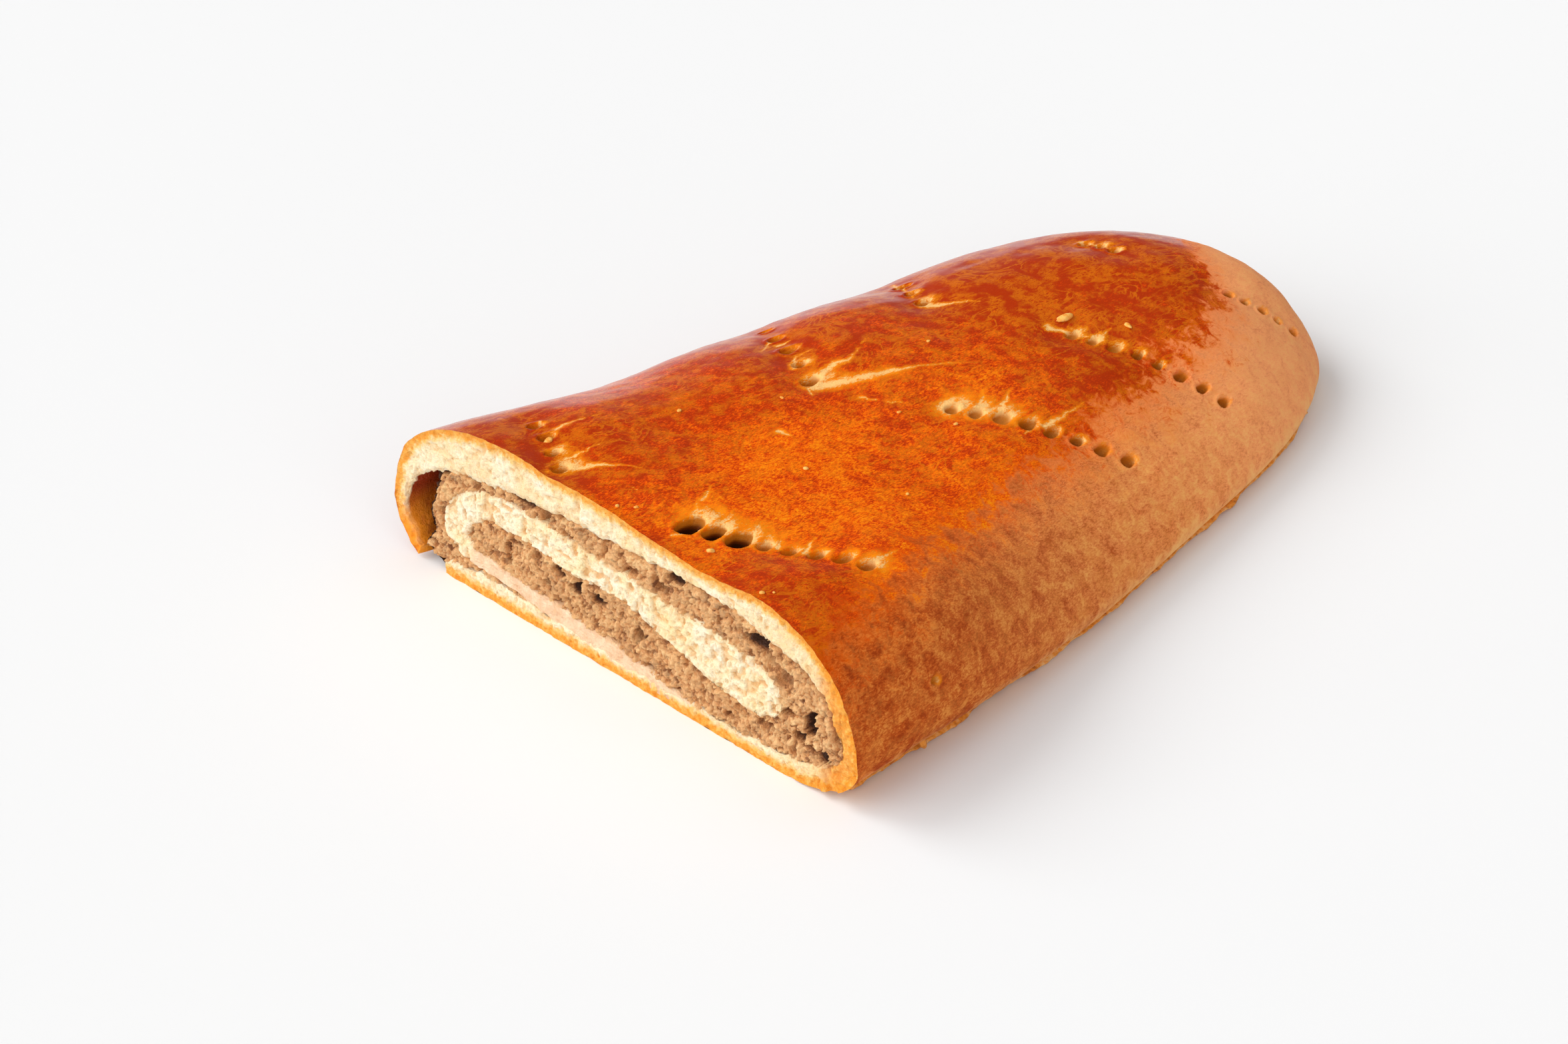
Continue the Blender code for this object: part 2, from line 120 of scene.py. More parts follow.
# Fork pricks, as (first x, first distance, last x, last distance, count)
PRICK_ROWS = (
    (13.7, 10.4, 49.5, 31.4, 8), (-42.3, 15.2, -22.5, 4.8, 4), (-46.5, 94.0, -14.0, 77.0, 5),
    (14.8, 95.4, 45.4, 124.4, 8), (-40.0, 135.0, -26.0, 128.0, 3), (9.5, 143.8, 41.0, 165.6, 8),
    (-20.0, 182.0, -11.5, 184.0, 3), (16.5, 196.0, 28.0, 208.5, 5),
)
PRICK_SIZES = (0.85, 0.8, 0.85, 0.9, 0.8, 0.75, 0.7, 0.7)
TROUGH_DEPTH, TROUGH_REACH = 1.3, 8.0
# The first pricks of the front row are torn open, and the first ones of some rows are shallow
TORN_COUNT, TORN_WIDER, TORN_DEEPER = 3, 1.25, 1.5
SHALLOW_ROWS, SHALLOW_SHARE = (3, 5, 6), 0.4
# A small torn hole low on the right side, as (x, distance), with its radius, depth and stretched dough
SIDE_HOLE, SIDE_HOLE_SIZES = (74.0, 28.0), (1.0, 1.2, 0.4)

# Size of the stretched pale dough behind each prick, row by row
PRICK_STRETCH = (
    (3.6, 3.4, 3.2, 2.2, 1.5, 1.3, 1.4, 2.6), (0.8, 1.0, 1.8, 3.0), (0.6, 0.8, 1.0, 1.6, 2.8),
    (3.0, 3.0, 2.8, 1.6, 1.1, 0.8, 0.7, 0.8), (0.9, 1.1, 1.8), (1.7, 1.5, 1.3, 0.9, 0.6, 0.5, 0.5, 0.5),
    (0.8, 1.2, 1.0), (0.5, 0.5, 0.6, 0.5, 0.5),
)

# Pale cracks in the glaze, each a list of (x, distance) with its widest and narrowest half width
CRACKS = (
    (1.7, 0.25, ((-22, 6), (-19, 10), (-15, 14), (-10, 18), (-4, 21))),
    (1.0, 0.3, ((-25, 9), (-24, 15), (-23, 24))),
    (1.0, 0.25, ((-37, 17), (-36, 24), (-34, 34))),
    (0.8, 0.3, ((-43, 17), (-38, 15.5))),
    (0.9, 0.4, ((-29, 8), (-28, 14))),
    (0.35, 0.15, ((-7, 11), (0, 11), (8, 15))),
    (0.7, 0.3, ((9, 20), (7, 24), (3, 29))),
    (0.8, 0.3, ((15, 9), (14, 4), (15, 0))),
    (2.6, 0.35, ((-12, 77), (-8.5, 82), (-5, 90), (-2, 98), (3, 110), (7, 116))),
    (1.6, 0.25, ((-14, 79), (-15, 87), (-14, 91), (-18, 99), (-22, 112))),
    (1.1, 0.3, ((-22, 80), (-26, 85), (-24, 94))),
    (0.9, 0.3, ((-35, 87), (-34, 95))),
    (0.7, 0.3, ((-38, 88), (-35, 82), (-34, 72))),
    (0.7, 0.25, ((-12, 75), (-5, 70))),
    (1.6, 0.3, ((-25, 128), (-21, 131), (-16, 137), (-12, 136))),
    (0.8, 0.3, ((-45, 138), (-33, 132), (-27, 128))),
    (0.5, 0.25, ((-1, 80), (5, 85), (10, 90), (14, 93))),
    (2.6, 0.8, ((14, 95), (12.5, 98), (13, 103))),
    (2.0, 0.6, ((19, 99), (17, 104), (14, 109))),
    (1.8, 0.6, ((23, 104), (20, 109), (17, 115))),
    (1.1, 0.3, ((30, 112), (30, 121), (29, 134))),
    (0.5, 0.2, ((29, 109), (31, 103), (33, 98), (36, 96))),
    (1.2, 0.4, ((4, 142), (9, 145), (14, 149), (18, 152))),
    (0.8, 0.3, ((14, 149), (13, 157))),
    (1.0, 0.4, ((-22, 183), (-14, 184), (-9, 187))),
    (1.4, 0.5, ((15, 12), (11, 16), (8, 20))),
    (1.2, 0.4, ((20, 15), (17, 20), (15, 26))),
    (1.3, 0.4, ((26, 19), (23, 24), (22, 30))),
    (1.1, 0.4, ((31, 22), (28, 27))),
    (1.0, 0.4, ((37, 25), (34, 30), (33, 36))),
    (1.2, 0.3, ((49, 33), (49, 39), (48, 48))),
    (1.0, 0.5, ((-2, 55), (1, 56), (4, 57))),
)
# Where the glaze ends and the matte right side begins, as (distance, x)
GLAZE_EDGE = (
    (0, 66), (6, 63), (29, 57), (45, 51), (75, 45), (95, 40), (108, 40), (127, 34), (140, 34),
    (152, 30), (173, 27), (184, 21), (193, 17), (200, 3), (208, -10), (224, -28),
)

# Hollows in the face of the spread, as (x, z, half width, half height, depth)
CRUMB_HOLES = (
    (62.8, 17.0, 2.6, 4.0, 9.0), (66.5, 9.8, 2.6, 1.6, 5.0), (46.0, 31.0, 4.2, 2.0, 6.0),
    (20.0, 35.0, 3.2, 1.6, 5.0), (-19.0, 18.6, 2.4, 1.5, 5.0), (-13.5, 16.6, 2.6, 1.6, 5.0),
    (-6.0, 17.0, 2.2, 1.4, 5.0), (8.0, 14.6, 1.8, 1.4, 4.0), (-32.0, 32.6, 4.5, 1.2, 5.0),
    (59.0, 11.8, 1.8, 1.6, 4.0),
)

# The seam along the right foot: where it starts, how far before the tip it ends, how far in it is rooted,
# and its profile as (share of the reach or place behind the foot, height, share of the lift)
SEAM_FROM, SEAM_SHORT, SEAM_INSET, FOOT_HEIGHT = 6.0, 22.0, 2.1, 3.5
SEAM_PROFILE = (
    (-5.0, 0.2, 0.0), (0.2, 0.15, 0.35), (1.0, 0.35, 1.0), (1.02, 0.75, 1.0), (0.3, 1.5, 0.4),
    (-5.0, 2.0, 0.0),
)
# Crumbs on the crust, as (x, distance, length, width)
CRUMBS = (
    (4.0, 148.0, 2.3, 1.3), (15.0, 159.0, 1.4, 0.7), (24.0, 8.0, 1.0, 0.8), (13.0, 49.0, 0.7, 0.6),
    (46.0, 2.5, 0.7, 0.5), (-24.0, 44.0, 0.7, 0.5), (-1.0, 3.0, 0.6, 0.5), (-34.0, 12.0, 1.2, 0.8),
    (2.0, 6.0, 0.6, 0.5), (47.5, 4.6, 0.4, 0.3), (-12.0, 66.0, 0.6, 0.4), (9.0, 84.0, 0.6, 0.4),
    (20.0, 92.0, 0.6, 0.5), (-8.0, 112.0, 0.6, 0.4), (33.0, 62.0, 0.5, 0.4),
)
# Flakes along the right foot, by distance, and the fold as (distance, height, half length, half height)
FLAKES = (4.0, 9.0, 12.0, 18.0, 24.0, 33.0, 38.0, 47.0, 52.0, 61.0, 70.0, 83.0, 88.0, 97.0, 112.0, 131.0,
          140.0, 158.0)
FOLD = ((27.0, 4.2, 1.0, 2.6), (27.6, 1.8, 1.9, 0.8))
FLAKE_THICKNESS, FLOOR_GAP = 0.35, 0.05

# Points closer than this are one
WELD_GAP = 0.02
# A crumb is a ball of so many rows, with so many points in each, and flat at its poles within this angle
LUMP_ROWS, LUMP_AROUND, LUMP_POLE = 8, 12, 0.15


# Shapes


def ease(t):
    """Smooth step: 3 t squared minus 2 t cubed, held at 0 and 1 outside that range."""
    t = np.clip(t, 0.0, 1.0)
    return t * t * (3.0 - 2.0 * t)


def spline(points, closed=False, steps=24):
    """A Catmull-Rom curve: cubic pieces, whose slope at a point is half the chord between its neighbours."""
    p = np.array(points, float)
    ends = (p[-1:], p[:1], p[1:2]) if closed else (2 * p[:1] - p[1:2], 2 * p[-1:] - p[-2:-1], p[:0])
    p = np.vstack([ends[0], p, ends[1], ends[2]])
    t = np.linspace(0.0, 1.0, steps, endpoint=False)[:, None, None]
    a, b, c, d = p[:-3], p[1:-2], p[2:-1], p[3:]
    bend = (2 * a - 5 * b + 4 * c - d) * t**2 + (3 * b - a - 3 * c + d) * t**3
    curve = (0.5 * (2 * b + (c - a) * t + bend)).swapaxes(0, 1).reshape(-1, p.shape[1])
    return np.vstack([curve, curve[:1] if closed else p[-2:-1]])


def shares(curve):
    """The share of a curve's length at each of its points, with the curve's length."""
    run = np.r_[0.0, np.cumsum(np.linalg.norm(np.diff(curve[:, :2], axis=0), axis=1))]
    return run / run[-1], run[-1]


def read(curve, share):
    """A curve's columns at shares of its length."""
    at, _ = shares(curve)
    return np.stack([np.interp(share, at, column) for column in curve.T], axis=-1)


CUT_RING = spline(CUT_OUTLINE, closed=True)
FAR_RING = spline(FAR_OUTLINE, closed=True)
TONGUE_PATH = spline(TONGUE)
RING_LENGTH = shares(CUT_RING)[1]


def along(distance, values):
    """A cubic Hermite curve through the stations, whose slopes are the centred differences of the values."""
    at, values = np.array(STATIONS), np.array(values)
    slope = np.gradient(values, at)
    distance = np.clip(distance, 0.0, at[-1])
    i = np.clip(np.searchsorted(at, distance) - 1, 0, len(at) - 2)
    span = at[i + 1] - at[i]
    t = (distance - at[i]) / span
    start = (2 * t**3 - 3 * t**2 + 1) * values[i] + (t**3 - 2 * t**2 + t) * span * slope[i]
    return start + (3 * t**2 - 2 * t**3) * values[i + 1] + (t**3 - t**2) * span * slope[i + 1]


def widen(x, distance):
    """Maps the cut's width in a straight line on the width between the two insets at a distance."""
    left = -HALF_WIDTH + along(distance, LEFT_INSET)
    right = HALF_WIDTH - along(distance, RIGHT_INSET)
    return left + (x + HALF_WIDTH) / CUT_WIDTH * (right - left)


def draw_in(x, z, distance):
    """Closes the far end as a superellipse: what is left of the width is (1 - k^n)^(1/n)."""
    k = np.clip((distance - (LENGTH - END_LENGTH)) / END_LENGTH, 0.0, 1.0)
    shrink = (1.0 - k**END_BLUNTNESS) ** (1.0 / END_BLUNTNESS)
    fall = np.where(z > END_Z, shrink**DOME_FALL, shrink**HEEL_FALL)
    return END_X + (x - END_X) * shrink, END_Z + (z - END_Z) * fall


def trough(x, distance):
    """A bell-shaped dip round the line of each row of pricks."""
    depth = np.zeros_like(x)
    for x0, y0, x1, y1, _ in PRICK_ROWS:
        share = np.clip((x - x0) / (x1 - x0), 0.0, 1.0)
        gone = np.hypot(x - (x0 + share * (x1 - x0)), distance - (y0 + share * (y1 - y0)))
        depth = np.maximum(depth, TROUGH_DEPTH * np.exp(-((gone / TROUGH_REACH) ** 2)))
    return depth


def swell(x, distance):
    """The slow unevenness of risen dough: two products of sines, one long and one shorter."""
    slow = np.sin(0.055 * distance + 0.03 * x + 0.6) * np.sin(0.048 * x - 0.021 * distance + 1.9)
    quick = np.sin(0.11 * distance - 0.05 * x) * np.sin(0.09 * x + 0.04 * distance + 0.7)
    return 0.7 * slow + 0.35 * quick


def outside(share, distance):
    """A point of the roll: the cut's outline blended into the far one, then widened, scaled and closed."""
    morph = ease((distance - MORPH_FROM) / (MORPH_TO - MORPH_FROM))[..., None]
    section = read(CUT_RING, share)[..., :2]
    section = section + (read(FAR_RING, share) - section) * morph
    x = widen(section[..., 0], distance)
    z = section[..., 1] * along(distance, HEIGHT_SCALE)
    crown = ease((z - CROWN_FROM) / CROWN_DEPTH)
    z = z + crown * (swell(x, distance) * ease(distance / 12.0) - trough(x, distance))
    x, z = draw_in(x, np.maximum(z, 0.0), distance)
    return np.stack([x, CUT_Y + distance, np.maximum(z, 0.0)], axis=-1)


def unit(vectors, spare):
    """Vectors of length 1, with a spare direction where there is none."""
    size = np.linalg.norm(vectors, axis=-1, keepdims=True)
    return np.where(size > 1e-6, vectors / np.maximum(size, 1e-6), spare)


def outward(share, distance):
    """The outside's normal: the cross product of its two slopes, from centred differences."""
    aside = outside((share + 0.002) % 1.0, distance) - outside((share - 0.002) % 1.0, distance)
    ahead, behind = np.minimum(distance + 0.5, LENGTH), np.maximum(distance - 0.5, 0.0)
    onward = outside(share, ahead) - outside(share, behind)
    return unit(np.cross(aside, onward), (0.0, 1.0, 0.0))


def share_over(x, distance):
    """The share of the outline whose point lies over x on the top side."""
    share = np.linspace(0.12, 0.58, 900)
    ring = outside(share, np.full_like(share, float(distance)))
    return share[np.argmin(np.abs(ring[:, 0] - x))]


def on_top(x, distance):
    """The point of the roll that lies over x on the top side."""
    return outside(np.array([share_over(x, distance)]), np.array([distance]))[0]


def in_cut(x, z):
    """Points in the plane of the cut."""
    return np.stack([x, 0 * x, z], axis=1)


def carry(points, distance):
    """Moves a figure drawn on the cut back along the roll. Each point goes with the outline near it: the
    outline's moves are averaged with weights that fall as the fourth power of their distance."""
    morph = ease((distance - MORPH_FROM) / (MORPH_TO - MORPH_FROM))
    share = np.linspace(0.0, 1.0, 68, endpoint=False)
    cut, far = read(CUT_RING, share)[:, :2], read(FAR_RING, share)
    gap = np.linalg.norm(points[:, None] - cut[None], axis=2)
    pull = 1.0 / (gap**2 + PULL_SOFTNESS**2) ** 2
    moved = points + morph * (pull @ (far - cut)) / pull.sum(axis=1)[:, None]
    z = moved[:, 1] * along(distance, HEIGHT_SCALE)
    return np.stack([widen(moved[:, 0], distance), np.full(len(points), CUT_Y + distance), z], axis=1)


def inner_edge(share):
    """The inner side of the wrap at the cut: its outline moved inwards by its thickness."""
    ring = read(CUT_RING, share % 1.0)
    tangent = read(CUT_RING, (share + 0.002) % 1.0)[..., :2] - read(CUT_RING, (share - 0.002) % 1.0)[..., :2]
    tangent = unit(tangent, (1.0, 0.0))
    inward = np.stack([tangent[..., 1], -tangent[..., 0]], axis=-1)
    return ring[..., :2] + inward * ring[..., 2:]


def distance_to(points, line):
    """Distance of points from a polyline, with the share of its points at the nearest place."""
    a, b = line[:-1], line[1:]
    step = b - a
    nearest = np.full(len(points), 1e9)
    where = np.zeros(len(points))
    for i in range(len(a)):
        t = np.clip(((points - a[i]) @ step[i]) / max(step[i] @ step[i], 1e-9), 0.0, 1.0)
        gone = np.linalg.norm(points - a[i] - t[:, None] * step[i], axis=1)
        where = np.where(gone < nearest, (i + t) / len(a), where)
        nearest = np.minimum(gone, nearest)
    return nearest, where


def depth_inside(points, ring):
    """Distance of points from a closed outline, positive inside, by counting crossings of a ray."""
    ring = np.vstack([ring, ring[:1]])
    gone, _ = distance_to(points, ring)
    inside = np.zeros(len(points), bool)
    for (x0, z0), (x1, z1) in zip(ring[:-1], ring[1:]):
        spans = (z0 > points[:, 1]) != (z1 > points[:, 1])
        crossing = (x1 - x0) * (points[:, 1] - z0) / ((z1 - z0) or 1e-9) + x0
        inside ^= spans & (points[:, 0] < crossing)
    return np.where(inside, gone, -gone)


# Noise


LATTICE = np.random.default_rng(5).random(4096)


def lattice(cell, seed):
    """A fixed random number from 0 to 1 for each whole-numbered cell, from a table read by a hash."""
    x, y, z = np.moveaxis(cell, -1, 0)
    mixed = (x * 73856093) ^ (y * 19349663) ^ (z * 83492791) ^ (seed * 40503)
    return LATTICE[(mixed ^ (mixed >> 13)) & 4095]


def noise(points, size, seed=0):
    """Value noise from -1 to 1: random numbers at the corners of cells of this size, eased between them."""
    at = points / size
    cell = np.floor(at).astype(np.int64)
    t = ease(at - cell)
    total = np.zeros(points.shape[:-1])
    for corner in np.ndindex(2, 2, 2):
        weight = np.prod(np.where(np.array(corner) == 1, t, 1.0 - t), axis=-1)
        total += weight * lattice(cell + np.array(corner), seed)
    return 2.0 * total - 1.0


def rough(points, size, seed=0):
    """Three layers of noise, each half the size of the last and half as strong."""
    total = sum(0.5**i * noise(points, size / 2**i, seed + 17 * i) for i in range(3))
    return total / sum(0.5**i for i in range(3))


def jitter(points, size, *seeds):
    """Noise of its own for x, y and z, and none where the seed is None."""
    return np.stack([0 * points[:, 0] if seed is None else noise(points, size, seed) for seed in seeds],
                    axis=1)


def grains(points, size, seed=0):
    """Cell noise: one seed to each cell of this size. Gives the distance to the nearest seed over the size,
    and that seed's own random number."""
    at = points / size
    cell = np.floor(at).astype(np.int64)
    first = np.full(points.shape[:-1], 9.0)
    own = np.zeros_like(first)
    for near in np.ndindex(3, 3, 3):
        here = cell + np.array(near) - 1
        place = here + np.stack([lattice(here, seed + k) for k in (1, 2, 3)], axis=-1)
        gone = np.linalg.norm(place - at, axis=-1)
        own = np.where(gone < first, lattice(here, seed + 4), own)
        first = np.minimum(first, gone)
    return first, own


# Meshes


def put(name, points, faces, material, nodes, attributes=None):
    """Makes a shaded piece of points in millimetres, with one number a point in each attribute."""
    mesh = bpy.data.meshes.new(name)
    mesh.from_pydata((points * MM).tolist(), [], faces)
    for key, values in (attributes or {}).items():
        mesh.attributes.new(key, "FLOAT", "POINT").data.foreach_set("value", np.asarray(values, np.float32))
    mesh.shade_smooth()
    mesh.materials.append(material)
    piece = bpy.data.objects.new(name, mesh)
    bpy.context.scene.collection.objects.link(piece)
    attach(piece, "root")
    if nodes:
        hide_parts(*nodes)
    return piece


@contextmanager
def edited(mesh):
    """A mesh opened for bmesh operators, and written back afterwards."""
    bm = bmesh.new()
    bm.from_mesh(mesh)
    yield bm
    bm.to_mesh(mesh)
    bm.free()


def grid_faces(rows, columns, ring=False, keep=None, flip=False):
    """Quads between neighbours of a grid of points, rows by columns, whose rows may close on themselves."""
    index = np.arange(rows * columns).reshape(rows, columns)
    if ring:
        index = np.hstack([index, index[:, :1]])
    quads = np.stack([index[:-1, :-1], index[:-1, 1:], index[1:, 1:], index[1:, :-1]], axis=2)
    if keep is not None:
        quads = quads[keep]
    quads = quads.reshape(-1, 4)
    return (quads[:, ::-1] if flip else quads).tolist()


def front_edge(share):
    """How far behind the cut the wrap begins: ragged all round, bitten at the right bottom corner, and split
    at the left foot."""
    x, z, _ = read(CUT_RING, share % 1.0).T
    flat = np.stack([x, z, 0 * x], axis=1)
    corner = ease((x - 62.0) / 8.0) * ease((14.0 - z) / 6.0)
    ragged = 0.2 + 0.2 * noise(flat, 1.6, 3) + 0.9 * corner * ease(0.5 + 1.5 * noise(flat, 2.4, 5))
    aside = np.abs(x - SPLIT_MIDDLE + 0.6 * np.sin(4.0 * x)) / SPLIT_HALF
    return ragged + np.interp(aside, SPLIT_SHARES, SPLIT_DEPTHS) * (z < SPLIT_HEIGHT)


def prick_places(roll):
    """Every prick: its place on the outside, radius, depth and the size of the stretched dough behind it."""
    draw = np.random.default_rng(7)
    places = []
    for row, (x0, y0, x1, y1, count) in enumerate(PRICK_ROWS):
        for i, stretched in enumerate(PRICK_STRETCH[row]):
            t = i / (count - 1)
            distance = y0 + t * (y1 - y0) + draw.uniform(-0.5, 0.5)
            torn = row == 0 and i < TORN_COUNT
            shallow = SHALLOW_SHARE if row in SHALLOW_ROWS and i < TORN_COUNT else 1.0
            wider, deeper = (TORN_WIDER, TORN_DEEPER) if torn else (PRICK_SIZES[row], 1.0)
            radius = roll.prick_radius / MM * draw.uniform(0.85, 1.15) * wider
            depth = roll.prick_depth / MM * draw.uniform(0.85, 1.15) * deeper * shallow
            places.append((on_top(x0 + t * (x1 - x0), distance), radius, depth, stretched))
    return [*places, (on_top(*SIDE_HOLE), *SIDE_HOLE_SIZES)]


def scoop(points, spot, radius):
    """A prick leant over: steep at its near edge and rising slowly behind. Gives the distance from its
    middle over its radius, ragged, and how deep it is there as a share of its depth."""
    off = points - spot
    along_y = off[:, 1] * np.where(off[:, 1] > 0.0, 0.50, 1.0)
    across = 1.05 * np.hypot(off[:, 0], off[:, 2])
    gone = np.hypot(across, along_y) * (1.0 + 0.16 * noise(points, 2.0, 8)) / radius
    steep = 1.0 - ease((gone - 0.72) / 0.36)
    slow = np.clip(1.12 - gone, 0.0, 1.0) ** 0.8
    share = ease(off[:, 1] / (1.6 * radius))
    return gone, steep + (np.minimum(steep, slow) - steep) * share


def crack_field(points, roll):
    """How far each point is from bare stretched dough, over that dough's half width at the nearest
    place: the cracks, which fade along their way, and the patch behind each prick."""
    field = np.full(len(points), 5.0)
    bent = points + 0.5 * jitter(points, 1.6, 31, 32, None)
    bent = bent + 0.22 * jitter(points, 0.6, 33, 34, None)
    streaks = noise(points * (1.0, 0.3, 1.0), 0.8, 35)
    for widest, narrowest, route in CRACKS:
        route = spline(route, steps=4)
        line = np.array([on_top(x, distance) for x, distance in route])
        low, high = line.min(axis=0) - 6.0, line.max(axis=0) + 6.0
        near = np.all((points > low) & (points < high), axis=1)
        gone, where = distance_to(bent[near], line)
        width = 0.8 * (narrowest + (widest - narrowest) * (1.0 - where) ** 1.3)
        here = gone / width + 1.3 * where**2 + np.clip(0.9 - 0.9 * width, 0.0, 0.6)
        field[near] = np.minimum(field[near], here)
    for spot, radius, _, stretched in prick_places(roll):
        off = points - spot - (0.0, radius + 0.5 * stretched, 0.0)
        across = np.hypot(off[:, 0], off[:, 2]) / (0.62 * stretched + 0.5)
        gone = np.hypot(across, off[:, 1] / (0.95 * stretched + 0.5))
        field = np.minimum(field, np.maximum(1.15 * gone + 0.6 * streaks, 0.0))
    return field


def crust_skin(share, distance, roll):
    """The outside with its relief: noise of four sizes, fork pricks with lips, and shallow cracks, all along
    the normal. Gives the points, and for each the crack field and how far it is down a prick."""
    base = outside(share, distance)
    normal = outward(share, distance)
    lie = ease((base[:, 2] - 1.0) / 4.0)
    wrinkle = noise(base * (1.0, 0.3, 1.0), 2.4, 9) * ease((20.0 - base[:, 0]) / 40.0)
    height = 0.30 * rough(base, 15.0, 1) + 0.10 * noise(base, 4.5, 2) + 0.05 * noise(base, 1.8, 4)
    height += 0.06 * wrinkle
    cracks = crack_field(base, roll)
    height = height - 0.05 * np.exp(-((0.8 * cracks) ** 2)) * (1.0 + noise(base, 0.9, 6))
    down = np.zeros(len(base))
    for spot, radius, depth, _ in prick_places(roll):
        near = np.linalg.norm(base - spot, axis=1) < 9.0
        gone, hole = scoop(base[near], spot, radius)
        lip = np.exp(-(((gone - 1.5) / 0.4) ** 2))
        height[near] += 0.22 * lip - depth * hole
        down[near] = np.maximum(down[near], hole * max(0.3 + 0.15 * depth, (0.33 + 0.15 * depth) ** 3))
    return base + normal * (height * lie)[:, None], cracks, down


def glaze_side(points):
    """Signed distance in x from the edge of the glaze, positive on the glossy side."""
    distance, x = np.array(GLAZE_EDGE, float).T
    return np.interp(points[:, 1] - CUT_Y, distance, x) - points[:, 0] + 2.0 * rough(points, 9.0, 12)


def crust_sheet(roll):
    """A flat sheet whose x is the share and y the distance: a grid, closer on the parts that show, whose
    cells round the pricks are cut finer."""
    step = roll.crust_step / MM / RING_LENGTH
    show = np.arange(0.0, 0.66, step)
    under = np.linspace(0.66, 1.0, 36, endpoint=False)
    across = np.r_[show, under, 1.0]
    straight = np.arange(0.0, LENGTH - END_LENGTH, roll.crust_step / MM)
    turn = np.linspace(0.0, np.pi / 2, int(END_LENGTH * 1.25 / (roll.crust_step / MM)))
    onward = np.r_[straight, LENGTH - END_LENGTH + END_LENGTH * np.sin(turn)]
    sheet = np.stack(np.meshgrid(across, onward, indexing="xy"), axis=2).reshape(-1, 2)
    mesh = bpy.data.meshes.new("flat_crust")
    mesh.from_pydata(np.c_[sheet, np.zeros(len(sheet))].tolist(), [], grid_faces(len(onward), len(across)))
    placed = outside(sheet[:, 0] % 1.0, sheet[:, 1])
    close = np.zeros(len(sheet), bool)
    for spot, radius, _, _ in prick_places(roll):
        close |= np.linalg.norm(placed - spot, axis=1) < 1.7 * radius + 0.6
    close |= crack_field(placed, roll) < 2.2
    with edited(mesh) as bm:
        edges = [edge for edge in bm.edges if any(close[vert.index] for vert in edge.verts)]
        bmesh.ops.subdivide_edges(bm, edges=edges, cuts=3, use_grid_fill=True)
    flat = np.zeros(len(mesh.vertices) * 3)
    mesh.vertices.foreach_get("co", flat)
    faces = [list(face.vertices)[::-1] for face in mesh.polygons]
    bpy.data.meshes.remove(mesh)
    return flat.reshape(-1, 3)[:, :2], faces


def make_crust(roll, material):
    """The outside carried from a flat sheet, whose front row is pulled back to the wrap's ragged front."""
    flat, faces = crust_sheet(roll)
    share = flat[:, 0] % 1.0
    pulled = front_edge(share) * np.clip(1.0 - flat[:, 1] / 70.0, 0.0, 1.0)
    distance = np.minimum(flat[:, 1] + pulled, LENGTH)
    points, cracks, down = crust_skin(share, distance, roll)
    piece = put("crust", points, faces, material, ["rolled_dough"],
                {"crack": cracks, "prick": down, "glaze": glaze_side(points), "from_cut": distance})
    weld(piece)
    return piece


def weld(piece):
    """Joins the points that coincide where a sheet meets itself."""
    with edited(piece.data) as bm:
        bmesh.ops.remove_doubles(bm, verts=bm.verts, dist=WELD_GAP * MM)


def crumb_relief(points, openness):
    """Depth of bread crumb at a cut: hollows of three sizes where noise falls low, deeper where the crumb is
    more open, on a slightly uneven face."""
    most = 0.24 * openness - 0.52
    big = ease((most - noise(points, 1.9, 41)) / 0.2)
    middle = ease((most + 0.16 - noise(points, 0.95, 45)) / 0.25)
    small = noise(points, 0.55, 49)
    return openness * (0.75 * big + 0.5 * middle) - 0.15 * small + 0.1 * rough(points, 3.5, 53) + 0.1


